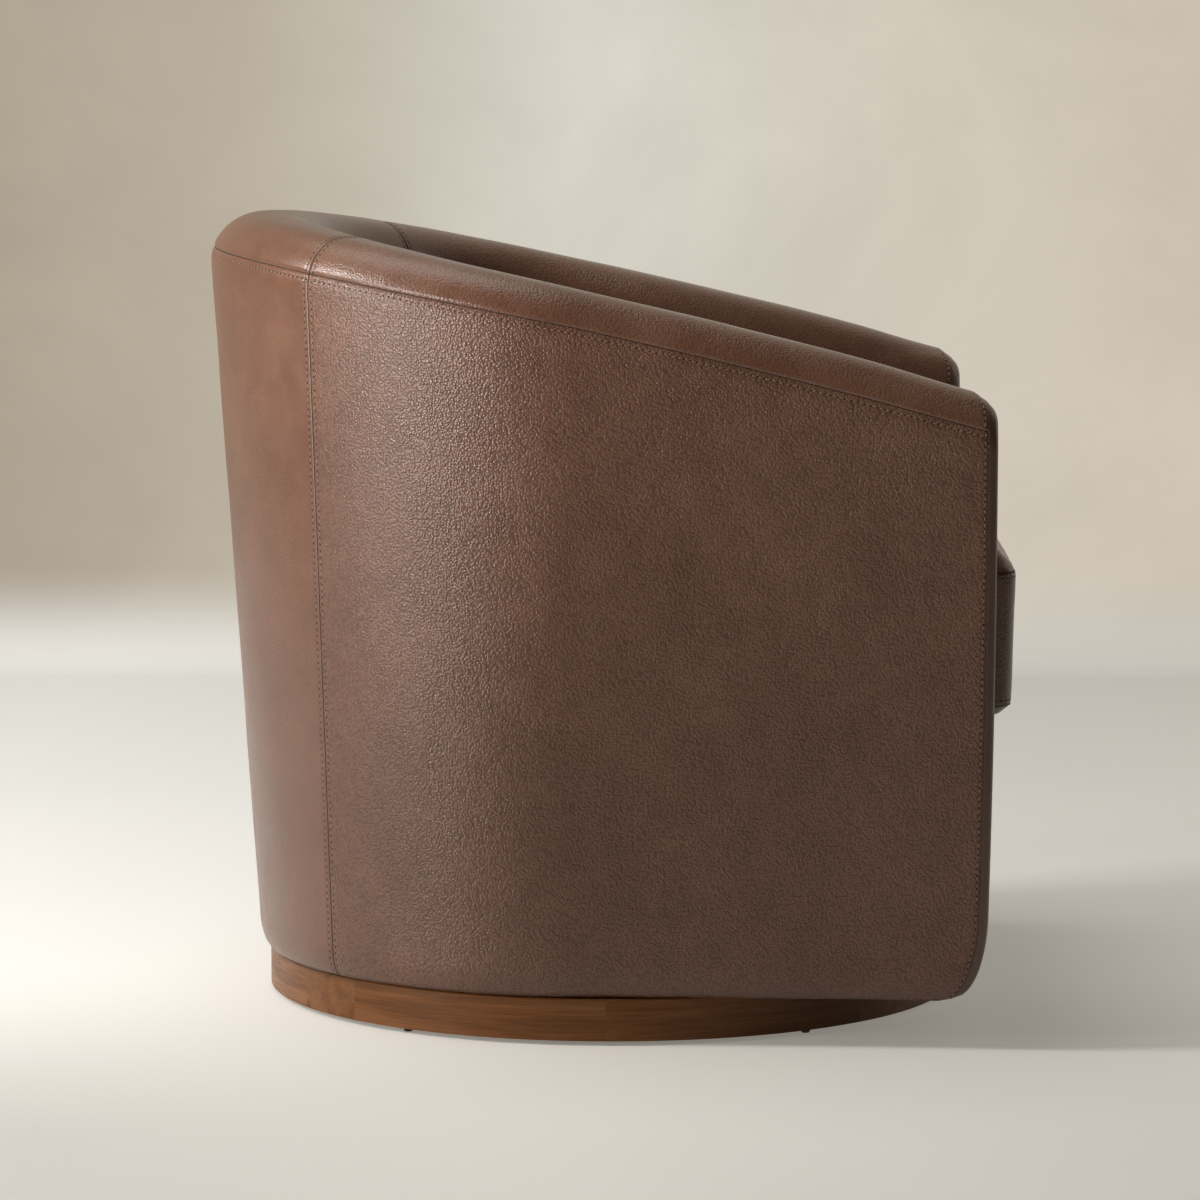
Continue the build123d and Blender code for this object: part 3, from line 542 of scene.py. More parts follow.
def row_line(points, normals, distance, inset, along_w):
    """Places and normals of a stitch row, at a distance from a panel's edge."""
    if not along_w:
        points, normals = points.transpose(1, 0, 2), normals.transpose(1, 0, 2)
        distance = distance.T
    places, ups = [], []
    for line, up, run in zip(points, normals, distance):
        order = np.argsort(run)
        places.append([np.interp(inset, run[order], line[order, k]) for k in range(3)])
        ups.append([np.interp(inset, run[order], up[order, k]) for k in range(3)])
    return np.array(places), np.array(ups)


def panel_piece(name, w0, w1, q0, q1, replaces, rows, seed, material):
    points, normals = skin(path_places(w0, w1), section_places(q0, q1), rows, seed)
    inner = points - normals * EDGE_DEPTH
    verts = np.concatenate([points.reshape(-1, 3), inner.reshape(-1, 3)])
    faces = grid_faces(*points.shape[:2]) + rim_faces(*points.shape[:2])
    obj = mesh_piece(name, verts, faces, material, "seat")
    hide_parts(*replaces)


spans = {"right": (FRONT_SEAM, SEAM_W[0]), "back": SEAM_W, "left": (SEAM_W[1], LENGTH - FRONT_SEAM)}
for i, (side, (w0, w1)) in enumerate(spans.items()):
    start = FRONT_ROW if side == "right" else REAR_ROW
    end = FRONT_ROW if side == "left" else REAR_ROW
    outer, inside = (SMOOTH_LEATHER,) * 2 if side == "back" else (LEATHER, ROLL_LEATHER)
    panel_piece(f"{side}_outer_skin", w0, w1, 0.0, SEAM_Q, [f"outer_{side}_leather"],
                {"w0": start, "w1": end, "q1": TOP_ROW}, i + 1, outer)
    panel_piece(f"{side}_inside_skin", w0, w1, SEAM_Q, 7.0, [f"inside_{side}_leather", f"{side}_foam"],
                {"w0": start, "w1": end, "q0": None}, i + 11, inside)


def liner(side):
    """Board between the frame and the outer leather of an arm."""
    w0, w1 = spans[side]
    near, far = (5.0, 1.0) if side == "right" else (1.0, 5.0)
    w_places = np.linspace(w0 + near, w1 - far, 60)
    q_places = np.concatenate([np.linspace(1.3, 2, 6)[:-1], np.linspace(2, SEAM_Q - 0.05, 60)])
    sides = [tub(w_places[:, None], q_places[None, :], inset).reshape(-1, 3) for inset in LINER_INSETS]
    count, cols = len(w_places), len(q_places)
    faces = grid_faces(count, cols) + grid_faces(count, cols, count * cols) + rim_faces(count, cols)
    obj = mesh_piece(f"{side}_liner_board", np.concatenate(sides), faces, FIBREBOARD, "seat")
    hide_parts(f"{side}_liner")


LINER_INSETS = (4.0, 5.8)
FACE_BULGE, FACE_ROUND = 1.2, 4.0


def arm_middle(z):
    """Middle of the arm's thickness at its front, where its front face closes."""
    st = stations(np.array([0.0]))
    low, high = float(reach(st, LOW_Z)[0]) - 48.0, float(reach(st, 600.0)[0]) - 46.0
    return np.interp(z, [LOW_Z, 600.0], [low, high])


def front_heights(top, count):
    """Heights up the front, close together round its lower corner."""
    low = [LOW_Z + CORNER_H * (1 - math.cos(math.pi / 2 * i / 14)) for i in range(15)]
    return low + list(np.linspace(LOW_Z + CORNER_H + 8, top, count))


def arm_foot(sign):
    """Inner half of an arm's front below the deck, turned back to meet the front panel."""
    rows = []
    for z in front_heights(DECK_Z - 7.0, 24):
        face = FRONT_Y + float(front_draw(z)) - FACE_BULGE
        x_in = inner_half(PANEL_Y + float(front_draw(z)), z) - 0.8
        middle = float(arm_middle(z))
        # It overlaps the arm's closed face by 2 mm, just behind it.
        line = [(middle + 2.0, face + 0.3)]
        line += [(x, face) for x in np.linspace(middle - 1.0, x_in + FACE_ROUND, 8)]
        line += [(x_in + FACE_ROUND - FACE_ROUND * math.sin(a),
                  face + FACE_ROUND - FACE_ROUND * math.cos(a))
                 for a in np.linspace(0, math.pi / 2, 6)[1:]]
        line += [(x_in, face + 8.0), (x_in, face + 13.0)]
        rows.append([(sign * x, y, z) for x, y in line])
    tuck = [[(x + sign * (27.0 if k == 0 else 0.0), y + back, z + 0.3)
             for k, (x, y, z) in enumerate(rows[0])] for back in (30.0, 12.0)]
    return np.array(tuck + rows)


def inner_half(y, z):
    """Half the room between the arms at a place."""
    st = stations(np.array([y - FRONT_Y]))
    return float(inner_face(st, np.array([z]))[0])


def arm_front(side):
    """Front panel of an arm: round the front edge and over the flat face."""
    sign = -1.0 if side == "right" else 1.0
    q_places = np.concatenate([
        np.linspace(0.3, 1, 5)[:-1], np.linspace(1, 2, 8)[:-1], np.linspace(2, 3, 85)[:-1],
        np.linspace(3, 4, 18)[:-1], np.linspace(4, 5, 4)[:-1], np.linspace(5, 6, 18)[:-1],
        np.linspace(6, 7, 60)])

    def ring(y, inset):
        w = y if sign < 0 else LENGTH - y
        return tub(np.full_like(q_places, w), q_places, inset)

    rings = [ring(FRONT_SEAM + 1.4, 3.2), ring(FRONT_SEAM + 0.2, 1.7)]
    for ahead in (0.05, 0.5, 1.1, 2.0, 3.0):
        y = FRONT_SEAM - ahead
        dip = seam_dip(FRONT_SEAM - y, SEAM_DEPTH[FRONT_ROW], SEAM_WIDTH)
        rings.append(ring(y, dip + SKIN_SINK))
    for y in (4.8, 3.6, 2.4, 1.8, 1.2, 0.7, 0.3, 0.0):
        rings.append(ring(y, SKIN_SINK))
    # The flat face closes from the last ring towards the middle of the arm's thickness.
    last = rings[-1]
    mid_x = sign * arm_middle(last[:, 2])
    for share in (0.06, 0.15, 0.3, 0.5, 0.7, 0.88, 1.0):
        inner = last.copy()
        inner[:, 0] = last[:, 0] + (mid_x - last[:, 0]) * share
        inner[:, 1] -= FACE_BULGE * math.sin(share * math.pi / 2)
        rings.append(inner)
    rings = np.array(rings)
    rows, cols = rings.shape[:2]
    foot = arm_foot(sign)
    verts = np.concatenate([rings.reshape(-1, 3), foot.reshape(-1, 3)])
    faces = grid_faces(rows, cols) + grid_faces(*foot.shape[:2], rows * cols)
    obj = mesh_piece(f"{side}_arm_front_skin", verts, faces, SMOOTH_LEATHER, "seat")
    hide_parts(f"{side}_arm_front_leather", "arm_front_pads")


for side in ("left", "right"):
    liner(side)
    arm_front(side)


# -------------------- front panel, deck and dust cover
# The dust cover's hole clears a square plate that is turned by 45 degrees.
PLATE_HALF, COVER_Z = 121.0, 47.2


def front_panel():
    """Leather under the cushion's front: tucked below, up the front and back over the deck."""
    top = DECK_TOP
    fronts = [(PANEL_Y + float(front_draw(z)), z) for z in front_heights(top - 10, 22)]
    foot_y, roll_y = fronts[0][0], fronts[-1][0]
    profile = [(foot_y + 30.0, LOW_Z), (foot_y + 12.0, LOW_Z)] + fronts
    for i in range(1, 7):
        a = math.pi / 2 * i / 6
        profile.append((roll_y + 9 - 9 * math.cos(a), top - 9 + 9 * math.sin(a)))
    profile += [(y, top) for y in np.linspace(roll_y + 14, PANEL_Y + PANEL_RETURN, 9)]
    rows = []
    for y, z in profile:
        half = inner_half(max(y, FRONT_Y), z) - 0.2
        xs = np.linspace(-half, half, 90)
        edge = np.clip((half - np.abs(xs)) / 10.0, 0, 1)
        sag = 1.0 * (1 - edge) ** 2
        rows.append(np.stack([xs, np.full_like(xs, y) + (sag if z < top - 5 else 0),
                              np.full_like(xs, z) - (sag if z > top - 5 else 0)], -1))
    rows = np.array(rows)
    lift = wobble(rows, 90.0, 31)
    rows[..., 1] -= lift * 0.7 * (rows[..., 2] < top - 12)
    faces = grid_faces(*rows.shape[:2])
    obj = mesh_piece("front_panel_skin", rows.reshape(-1, 3), faces, LEATHER, "seat")
    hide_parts("front_panel_leather", "front_rail_pad")


def close_front(x, y, front_y, count):
    """A horseshoe outline closed by a straight line along its front."""
    share = np.linspace(0, 1, count)[1:-1]
    x = np.concatenate([x, x[-1] + (x[0] - x[-1]) * share])
    return x, np.concatenate([y, np.full_like(share, front_y)])


def deck_outline(share, z, y0):
    """D-shaped outline of the deck, drawn in evenly by a share."""
    ws = np.linspace(y0 - FRONT_Y, LENGTH - (y0 - FRONT_Y), 160)
    st = stations(ws)
    r = inner_face(st, np.full_like(ws, DECK_Z)) + 0.6
    x, y = close_front(st["dx"] * r, st["y"] + st["dy"] * r, y0, 60)
    mid = (y0 + y.max()) / 2
    return np.stack([x * share, mid + (y - mid) * share, np.full_like(x, z)], -1)


def deck():
    y0 = PANEL_Y + PANEL_RETURN
    shares = np.concatenate([[1.0, 0.995, 0.985], np.linspace(0.96, 0.04, 24)])
    rings = [deck_outline(f, DECK_TOP - 0.2, y0) for f in shares]
    verts = np.concatenate(rings)
    n = len(rings[0])
    faces = ring_faces(len(rings), n)
    faces.append(tuple((len(rings) - 1) * n + j for j in range(n)))
    sag = wobble(verts.reshape(1, -1, 3), 150.0, 41)[0]
    verts[:, 2] += sag * 0.5 - 0.6
    obj = mesh_piece("deck_sheet", verts, faces, CLOTH, "seat")
    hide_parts("deck_cloth", "deck_pad")


def dust_cover():
    """Cloth stretched under the tub, cut out round the swivel's plate."""
    turn = np.linspace(0, 2 * math.pi, 240, endpoint=False)
    ws = np.linspace(80.0, LENGTH - 80.0, 400)
    st = stations(ws)
    r = reach(st, LOW_Z) - FOOT_IN - TUCK - 0.5
    x, y = st["dx"] * r, st["y"] + st["dy"] * r
    x, y = close_front(x, y, y[0], 120)
    angle = np.unwrap(np.arctan2(y, x))
    order = np.argsort(np.mod(angle, 2 * math.pi))
    outer = np.interp(turn, np.mod(angle, 2 * math.pi)[order], np.hypot(x, y)[order],
                      period=2 * math.pi)
    turned = turn - math.pi / 4
    diamond = PLATE_HALF / np.maximum(np.abs(np.cos(turned)), np.abs(np.sin(turned)))
    rings = []
    for share in np.linspace(0, 1, 16):
        radius = diamond + (outer - diamond) * share
        sag = -0.9 * math.sin(math.pi * share)
        rings.append(np.stack([radius * np.cos(turn), radius * np.sin(turn),
                               np.full_like(turn, COVER_Z + sag)], -1))
    rings = np.array(rings)
    rings[..., 2] += wobble(rings, 60.0, 51) * 0.4
    n = len(turn)
    faces = ring_faces(len(rings), n)
    obj = mesh_piece("dust_sheet", rings.reshape(-1, 3), faces, CLOTH, "seat")
    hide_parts("dust_cover")


front_panel()
deck()
dust_cover()


# -------------------- loose seat cushion
CUSHION_FRONT, CUSHION_GAP, CUSHION_CORNER = -383.0, 6.0, 22.0
UNDERSIDE = DECK_TOP + 0.8
LOWER_SEAM, UPPER_SEAM = 309.0, 435.0
FOOT_SLANT = 13.0
CROWN, CROWN_REACH = 38.0, 44.0
SEAM_FINE = (0, 0.7, 1.5, 2.6, 4.0, 5.2, 6.4, 8.5, 12.0, 17.0, 24.0)
CUSHION_ROW = 5.2
RINGS = 42
TOP, SIDE, UNDER = 0, 1, 2
FRONT_LEAN, BOXING_DRAW = 3.4, 0.9
SIM_FRAMES, PRESSURE, SWELL_CAP = 20, 4.0, 9.0


def cushion_reach(turn):
    """Distance from the cushion's middle to its seam in each direction, and the edge's slant."""
    st = stations(np.linspace(ARM_LEN, LENGTH - ARM_LEN, 500))
    r = inner_face(st, np.full(500, DECK_Z)) - CUSHION_GAP
    x, y = st["dx"] * r, st["y"] + st["dy"] * r
    front_x = inner_half(FRONT_Y, DECK_Z) - CUSHION_GAP
    a = np.linspace(0, math.pi / 2, 24)
    corner_x = front_x - CUSHION_CORNER + CUSHION_CORNER * np.cos(a)
    corner_y = CUSHION_FRONT + CUSHION_CORNER - CUSHION_CORNER * np.sin(a)
    edge = np.linspace(0, 1, 160)[1:-1]
    side_x = x[-1] + (corner_x[0] - x[-1]) * edge
    side_y = y[-1] + (corner_y[0] - y[-1]) * edge
    front = corner_x[-1] - 2 * corner_x[-1] * edge
    x = np.concatenate([x, side_x, corner_x, front, -corner_x[::-1], -side_x[::-1]])
    y = np.concatenate([y, side_y, corner_y, np.full_like(front, CUSHION_FRONT), corner_y[::-1],
                        side_y[::-1]])
    # The front edge of a stuffed cushion swells forward a little in the middle.
    y = y - 1.5 * np.clip(1 - (x / front_x) ** 2, 0, 1) * (y < CUSHION_FRONT + 1)
    mid = (y.max() + y.min()) / 2
    angle = np.mod(np.arctan2(y - mid, x), 2 * math.pi)
    order = np.argsort(angle)
    far = np.interp(turn, angle[order], np.hypot(x, y - mid)[order], period=2 * math.pi)
    fine = np.linspace(0, 2 * math.pi, 2000, endpoint=False)
    far_fine = np.interp(fine, angle[order], np.hypot(x, y - mid)[order], period=2 * math.pi)
    slope = np.gradient(np.log(far_fine), fine[1])
    slant = np.minimum(np.sqrt(1 + slope**2), 1.5)
    kernel = np.hanning(41) / np.hanning(41).sum()
    slant = np.convolve(np.concatenate([slant[-20:], slant, slant[:20]]), kernel, "valid")
    return far, np.interp(turn, fine, slant, period=2 * math.pi), mid


def square_turn(a, b):
    """Direction of a place in a square grid that is drawn into rings."""
    big = np.maximum(np.abs(a), np.abs(b))
    big = np.where(big == 0, 1, big)
    flat = np.abs(a) >= np.abs(b)
    first = np.where(a > 0, math.pi / 4 * b / big, math.pi - math.pi / 4 * b / big)
    second = np.where(b > 0, math.pi / 2 - math.pi / 4 * a / big,
                      1.5 * math.pi + math.pi / 4 * a / big)
    return np.mod(np.where(flat, first, second), 2 * math.pi)


def band_faces(over, under):
    """Faces between two closed rows of points."""
    return list(zip(over, under, under[1:] + under[:1], over[1:] + over[:1]))


def cushion_mesh():
    """Closed mesh of quads: a top and a bottom drawn into rings, and the boxing between them."""
    a, b = np.meshgrid(np.arange(-RINGS, RINGS + 1), np.arange(-RINGS, RINGS + 1), indexing="ij")
    ring = np.maximum(np.abs(a), np.abs(b))
    turn = square_turn(a, b)
    far, slant, mid = cushion_reach(turn.reshape(-1))
    far, slant = far.reshape(turn.shape), slant.reshape(turn.shape)
    fine = np.array(SEAM_FINE)
    back = RINGS - ring
    near = fine[np.minimum(back, len(fine) - 1)] * slant
    last = fine[-1] * slant
    share = np.clip((back - (len(fine) - 1)) / (RINGS - (len(fine) - 1)), 0, 1)
    inward = np.where(back < len(fine), near, last + (far - last) * share)
    radius = far - inward
    depth = inward / slant
    x, y = radius * np.cos(turn), mid + radius * np.sin(turn)
    bow = np.clip(depth / CROWN_REACH, 0, 1)
    middle = np.clip(depth / 230.0, 0, 1)
    top = UPPER_SEAM + CROWN * np.sin(bow * math.pi / 2) + 5.0 * middle * (2 - middle)
    foot = np.clip(depth / FOOT_SLANT, 0, 1)
    bottom = LOWER_SEAM - (LOWER_SEAM - UNDERSIDE) * foot
    size = 2 * RINGS + 1
    index = np.arange(size * size).reshape(size, size)
    edge = [(i, j) for i in range(size) for j in range(size) if ring[i, j] == RINGS]
    edge.sort(key=lambda ij: turn[ij])
    verts = [np.stack([x, y, top], -1).reshape(-1, 3)]
    kind = [np.full(size * size, TOP)]
    away = [depth.reshape(-1)]
    faces = []
    for i in range(size - 1):
        for j in range(size - 1):
            faces.append((index[i, j], index[i + 1, j], index[i + 1, j + 1], index[i, j + 1]))
    rows = near_edges(UPPER_SEAM - LOWER_SEAM, SEAM_FINE, 8.0)
    ex = np.array([x[ij] for ij in edge])
    ey = np.array([y[ij] for ij in edge])
    over = [index[ij] for ij in edge]
    start = size * size
    for drop in rows[1:-1]:
        share = drop / (UPPER_SEAM - LOWER_SEAM)
        draw = BOXING_DRAW * math.sin(math.pi * share)
        pull = 1 - draw / np.hypot(ex, ey - mid)
        front = np.clip((-250.0 - ey) / 60.0, 0, 1)
        verts.append(np.stack([ex * pull, mid + (ey - mid) * pull + FRONT_LEAN * share * front,
                               np.full_like(ex, UPPER_SEAM - drop)], -1))
        kind.append(np.full(len(edge), SIDE))
        away.append(np.full(len(edge), min(drop, UPPER_SEAM - LOWER_SEAM - drop)))
        under = list(range(start, start + len(edge)))
        start += len(edge)
        faces += band_faces(over, under)
        over = under
    front = np.clip((-250.0 - y) / 60.0, 0, 1)
    verts.append(np.stack([x, y + FRONT_LEAN * front, bottom], -1).reshape(-1, 3))
    kind.append(np.full(size * size, UNDER))
    away.append(depth.reshape(-1))
    faces += grid_faces(size, size, start)
    faces += band_faces(over, [index[ij] + start for ij in edge])
    return np.concatenate(verts), faces, np.concatenate(kind), np.concatenate(away), edge, index, start


def swell(obj, verts, pinned, cap):
    """Let the covers fill by cloth simulation, with the seams held, and cap how far they move."""
    group = obj.vertex_groups.new(name="held")
    for weight in np.unique(pinned):
        group.add(np.nonzero(pinned == weight)[0].tolist(), float(weight), "REPLACE")
    cloth = obj.modifiers.new("fill", "CLOTH")
    settings = cloth.settings
    settings.quality = 6
    settings.mass = 0.4
    settings.tension_stiffness = settings.compression_stiffness = 18.0
    settings.shear_stiffness = 8.0
    settings.bending_stiffness = 1.5
    settings.use_pressure = True
    settings.uniform_pressure_force = PRESSURE
    settings.vertex_group_mass = "held"
    settings.effector_weights.gravity = 0.0
    cloth.point_cache.frame_start, cloth.point_cache.frame_end = 1, SIM_FRAMES
    scene = bpy.context.scene
    for frame_number in range(1, SIM_FRAMES + 1):
        scene.frame_set(frame_number)
    shape = obj.evaluated_get(bpy.context.evaluated_depsgraph_get()).to_mesh()
    moved = np.empty(len(shape.vertices) * 3)
    shape.vertices.foreach_get("co", moved)
    obj.to_mesh_clear()
    obj.modifiers.remove(cloth)
    obj.vertex_groups.remove(group)
    scene.frame_set(1)
    shift = moved.reshape(-1, 3) / MM - verts
    length = np.linalg.norm(shift, axis=1, keepdims=True)
    return verts + shift * np.minimum(1, cap / np.maximum(length, 1e-9))


def mesh_normals(mesh, count):
    normals = np.empty(count * 3)
    mesh.vertices.foreach_get("normal", normals)
    return normals.reshape(-1, 3)


def cushion():
    verts, faces, kind, away, edge, index, low_start = cushion_mesh()
    obj = mesh_piece("cushion_cover", verts, faces, SHADED_CUSHION_LEATHER, "cushion")
    rests = (kind == UNDER) & (away > FOOT_SLANT)
    pinned = np.where((away < 7.0) | rests, 1.0, np.where(kind == SIDE, 0.25, 0.0))
    verts = swell(obj, verts, pinned, SWELL_CAP)
    obj.data.vertices.foreach_set("co", (verts * MM).reshape(-1))
    obj.data.update()
    normals = mesh_normals(obj.data, len(verts))
    crease = np.exp(-away / 30.0) * wobble(verts[None], 22.0, 61)[0] * 0.8
    soft = wobble(verts[None], 110.0, 63)[0] * 1.2 * np.clip(away / 40.0, 0, 1) * (kind != UNDER)
    dip = seam_dip(away, 1.9, 4.0) + 0.35 * np.exp(-(((away - CUSHION_ROW) / 1.4) ** 2))
    verts = verts + normals * (crease * (away > 0.1) + soft - dip)[:, None]
    verts[:, 2] = np.maximum(verts[:, 2], UNDERSIDE - 0.4)
    obj.data.vertices.foreach_set("co", (verts * MM).reshape(-1))
    obj.data.update()
    normals = mesh_normals(obj.data, len(verts))
    # The stitch rows run on the boxing, one below its upper seam and one above its lower seam.
    step = SEAM_FINE.index(CUSHION_ROW)
    first = (2 * RINGS + 1) ** 2 + (step - 1) * len(edge)
    box_row = list(range(first, first + len(edge)))
    last = low_start - step * len(edge)
    low_row = list(range(last, last + len(edge)))
    loops = [row + row[:1] for row in (box_row, low_row)]
    upper = [index[ij] for ij in edge]
    seams = [upper + upper[:1], [k + low_start for k in upper + upper[:1]]]
    rows, lines = [[(verts[loop], normals[loop]) for loop in group] for group in (loops, seams)]
    smooth = obj.modifiers.new("smooth", "SUBSURF")
    smooth.levels = smooth.render_levels = 1
    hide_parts("cushion_core", "cushion_top_cover", "cushion_boxing", "cushion_bottom_cover")
    return rows, lines


# -------------------- stitches
STITCH_PITCH = 6.3
THREAD_SPINE = ((-2.0, -0.35), (-1.35, 0.26), (0.0, 0.36), (1.35, 0.26), (2.0, -0.35))
THREAD_SECTION = ((-0.52, -0.3, 0.0), (-0.36, 0.0, 0.6), (0.0, 0.0, 1.0), (0.36, 0.0, 0.6),
                  (0.52, -0.3, 0.0))
HOLE_LONG, HOLE_WIDE = 1.2, 0.72


def stitches(name, rows, body, material):
    """Threads along rows, and between them dark discs: painted shade in each needle hole."""
    threads, thread_faces, hole_shades, hole_faces = [], [], [], []
    for places, ups in rows:
        run = line_run(places)
        count = int((run[-1] - 3.0) / STITCH_PITCH)
        first = (run[-1] - count * STITCH_PITCH) / 2

        def at(s, values):
            return np.array([np.interp(s, run, values[:, k]) for k in range(3)])

        for k in range(count):
            for middle, kind in ((first + (k + 0.5) * STITCH_PITCH, "thread"),
                                 (first + k * STITCH_PITCH, "hole")):
                p = at(middle, places)
                t = at(middle + 1.5, places) - at(middle - 1.5, places)
                t /= np.linalg.norm(t)
                n = at(middle, ups)
                n -= t * n.dot(t)
                n /= np.linalg.norm(n)
                side = np.cross(n, t)
                if kind == "hole":
                    start = len(hole_shades)
                    hole_shades.append(p + n * 0.02)
                    for i in range(8):
                        a = math.pi * i / 4
                        hole_shades.append(p + t * HOLE_LONG * math.cos(a) + side * HOLE_WIDE * math.sin(a)
                                     + n * 0.10)
                    hole_faces += [(start, start + 1 + i, start + 1 + (i + 1) % 8) for i in range(8)]
                    continue
                start = len(threads)
                for along, height in THREAD_SPINE:
                    for across, base, rise in THREAD_SECTION:
                        lift = base + rise * height if height > 0 else height
                        threads.append(p + t * along + side * across + n * lift)
                thread_faces += grid_faces(len(THREAD_SPINE), len(THREAD_SECTION), start)
    mesh_piece(f"{name}_thread", threads, thread_faces, material, body)
    mesh_piece(f"{name}_holes", hole_shades, hole_faces, PAINTED_SHADE_DARK, body)


def seam_shadows(name, lines, body, half=0.75, lift=0.12):
    """Dark strips at the bottom of each seam: painted shade."""
    verts, faces = [], []
    for places, ups in lines:
        start = len(verts)
        ahead = np.gradient(places, axis=0)
        side = np.cross(ups, ahead)
        side /= np.linalg.norm(side, axis=1, keepdims=True)
        up = ups / np.linalg.norm(ups, axis=1, keepdims=True)
        for across, height in ((-half, lift), (0.0, lift + 0.33), (half, lift)):
            verts.extend(places + side * across + up * height)
        faces += grid_faces(3, len(places), start)
    mesh_piece(name, verts, faces, PAINTED_SHADE_DARK, body)


CUSHION_ROWS, CUSHION_SEAMS = cushion()
seam_shadows("tub_seam_shadows", SEAM_LINES, "seat")
seam_shadows("cushion_seam_shadows", CUSHION_SEAMS, "cushion", lift=0.45)
stitches("tub_stitch", STITCH_ROWS, "seat", THREAD)
stitches("cushion_stitch", CUSHION_ROWS, "cushion", DARK_THREAD)


# -------------------- camera
YAW, PITCH = math.radians(1.0), math.radians(6.28)
forward = Vector((math.cos(YAW), math.sin(YAW), 0.0))
right = Vector((math.sin(YAW), -math.cos(YAW), 0.0))
eye = -5.0 * forward - 0.011 * right + Vector((0, 0, 0.93))
look = forward * math.cos(PITCH) - Vector((0, 0, 1)) * math.sin(PITCH)
up = Vector((0, 0, 1)) * math.cos(PITCH) + forward * math.sin(PITCH)
camera = bpy.data.cameras.new("camera")
camera.sensor_fit = "HORIZONTAL"
camera.sensor_width = 36.0
camera.lens = 36.0 * 5100.0 / 1200.0
camera_obj = link("camera", camera)
camera_obj.matrix_world = Matrix((
    (right.x, up.x, -look.x, eye.x), (right.y, up.y, -look.y, eye.y),
    (right.z, up.z, -look.z, eye.z), (0, 0, 0, 1)))
bpy.context.scene.camera = camera_obj


# -------------------- floor, wall and light
WALL_X = 2.53


def stage_material():
    """Mottled plaster wall and pale floor. The wall shows painted light and shade across it; the floor
    takes shadows, and has painted shade and a painted glow.
    """
    mat, tree, bsdf = new_material("studio")
    base = coords(tree)
    split = add(tree, "SeparateXYZ", Vector=base)
    cloud = noise_tex(tree, base, 2.2, 5.0, 0.6, 0.4)
    plaster = remap(tree, cloud.outputs["Fac"], 0.3, 0.7, 0.93, 1.07)
    # across is painted light and shade on the wall: lighter in the middle, darker towards both sides
    # and most towards +Y.
    across = ramp(tree, remap(tree, split.outputs["Y"], -0.95, 0.95, 0.0, 1.0),
                  [(0.0, (0.60, 0.535, 0.44)), (0.3, (0.655, 0.60, 0.505)),
                   (0.55, (0.67, 0.645, 0.565)), (0.8, (0.50, 0.445, 0.355)),
                   (1.0, (0.42, 0.365, 0.285))])
    wall = mix_colour(tree, 1.0, across, plaster, "MULTIPLY")
    pale = remap(tree, cloud.outputs["Fac"], 0.3, 0.7, 0.985, 1.015)
    behind = remap(tree, split.outputs["X"], -0.8, 0.1, 0.0, 1.0, "SMOOTHSTEP")
    # Near the camera the floor's colour is darker towards +Y: painted shade.
    painted_floor_shade = remap(tree, split.outputs["Y"], 0.0, 0.8, 1.0, 0.84, "SMOOTHSTEP")
    near_floor = mix_colour(tree, 1.0, (1.0, 0.98, 0.92), painted_floor_shade, "MULTIPLY")
    floor = mix_colour(tree, behind, near_floor, (0.90, 0.88, 0.83))
    floor = mix_colour(tree, 1.0, floor, pale, "MULTIPLY")
    # lift is a painted glow of the floor, seen by the camera and in reflections: more behind the chair
    # and towards +Y, and near the camera more towards -Y.
    side = remap(tree, split.outputs["Y"], -0.8, 0.8, 0.0, 1.0)
    lift = ramp(tree, side,
                [(0.0, (0.27, 0.26, 0.23)), (0.5, (0.25, 0.24, 0.215)), (0.78, (0.38, 0.375, 0.355)),
                 (1.0, (0.42, 0.415, 0.395))])
    near_painted_glow = ramp(tree, side,
                     [(0.0, (0.150, 0.145, 0.128)), (0.5, (0.130, 0.125, 0.108)),
                      (0.8, (0.04, 0.04, 0.035)), (1.0, (0.03, 0.03, 0.025))])
    lift = mix_colour(tree, behind, near_painted_glow, lift)
    feed(tree, bsdf, Base_Color=floor, Roughness=0.9, Specular_IOR_Level=0.2, Emission_Color=lift,
         Emission_Strength=1.0)
    glow = add(tree, "Emission", Color=wall)
    dim = add(tree, "BsdfDiffuse", Color=(0.34, 0.32, 0.29))
    path = add(tree, "LightPath")
    # The wall and floor show their tones, with their painted light, shade and glow, to the camera and
    # to reflections, and are dim to the light that they throw back on the chair.
    seen = math_node(tree, "MAXIMUM", path.outputs["Is Camera Ray"], path.outputs["Is Glossy Ray"])
    seen = math_node(tree, "MAXIMUM", seen, path.outputs["Is Transmission Ray"])
    rise = remap(tree, split.outputs["Z"], 0.004, 0.16, 0.0, 1.0, "SMOOTHSTEP")
    shown = tree.nodes.new("ShaderNodeMixShader")
    tree.links.new(rise, shown.inputs["Fac"])
    tree.links.new(bsdf.outputs["BSDF"], shown.inputs[1])
    tree.links.new(glow.outputs["Emission"], shown.inputs[2])
    both = tree.nodes.new("ShaderNodeMixShader")
    tree.links.new(seen, both.inputs["Fac"])
    tree.links.new(dim.outputs["BSDF"], both.inputs[1])
    tree.links.new(shown.outputs["Shader"], both.inputs[2])
    out = next(n for n in tree.nodes if n.type == "OUTPUT_MATERIAL")
    tree.links.new(both.outputs["Shader"], out.inputs["Surface"])
    return mat


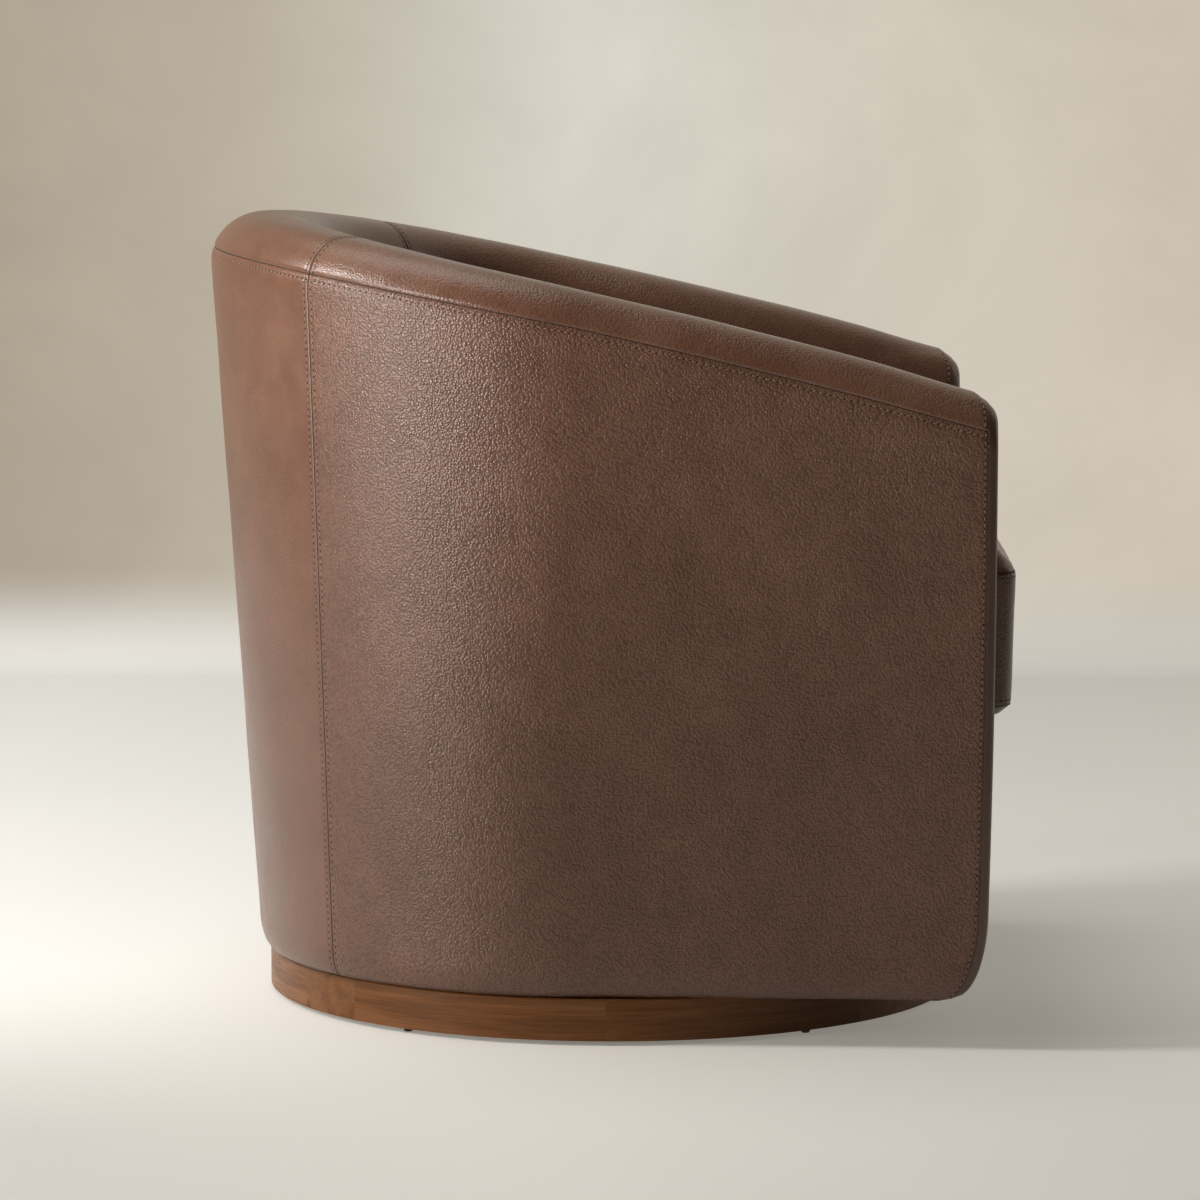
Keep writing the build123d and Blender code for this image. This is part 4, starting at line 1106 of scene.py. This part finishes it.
def backdrop():
    """Floor that curves up into a wall behind the chair, and floor all round."""
    curve = 0.12
    profile = [(-14.0, 0.0)] + [(x, 0.0) for x in (-4.0, 0.0, 1.5, WALL_X - curve)]
    for i in range(1, 9):
        a = math.pi / 2 * i / 8
        profile.append((WALL_X - curve + curve * math.sin(a), curve - curve * math.cos(a)))
    profile += [(WALL_X, 1.0), (WALL_X, 7.0)]
    verts = [(x, y, z) for y in (-12.0, 12.0) for x, z in profile]
    n = len(profile)
    faces = [(i, i + 1, n + i + 1, n + i) for i in range(n - 1)]
    mesh = bpy.data.meshes.new("backdrop")
    mesh.from_pydata(verts, [], faces)
    mesh.polygons.foreach_set("use_smooth", [True] * len(mesh.polygons))
    mesh.materials.append(stage_material())
    link("backdrop", mesh)


backdrop()


def area_light(name, place, target, size, power, colour, spread=180.0):
    light = bpy.data.lights.new(name, "AREA")
    light.shape = "RECTANGLE"
    light.size, light.size_y = size
    light.energy = power
    light.color = colour
    light.spread = math.radians(spread)
    obj = link(name, light)
    obj.location = place
    direction = Vector(target) - Vector(place)
    obj.rotation_euler = direction.to_track_quat("-Z", "Y").to_euler()


area_light("key", (-0.62, 2.30, 1.85), (0, 0.1, 0.6), (0.50, 0.62), 35.0, (1.0, 0.97, 0.94))
area_light("window", (-1.78, 1.80, 0.86), (-0.30, 0.17, 0.68), (0.34, 0.20), 0.34,
           (1.0, 0.98, 0.97), 22.0)
area_light("strip", (-1.42, 2.1, 0.58), (0, 0.1, 0.40), (0.34, 1.1), 15.0, (1.0, 0.97, 0.95))
area_light("rim", (1.2, -3.2, 1.6), (0, 0, 0.5), (1.0, 2.2), 3.0, (0.90, 0.94, 1.0))
area_light("overhead", (0.2, 0.9, 3.6), (0, 0, 0), (2.2, 2.2), 30.0, (1.0, 0.98, 0.95))
world = bpy.data.worlds.new("world")
world.use_nodes = True
world.node_tree.nodes["Background"].inputs["Color"].default_value = (1.0, 0.97, 0.93, 1)
world.node_tree.nodes["Background"].inputs["Strength"].default_value = 0.08
bpy.context.scene.world = world
bpy.context.scene.view_settings.view_transform = "Standard"
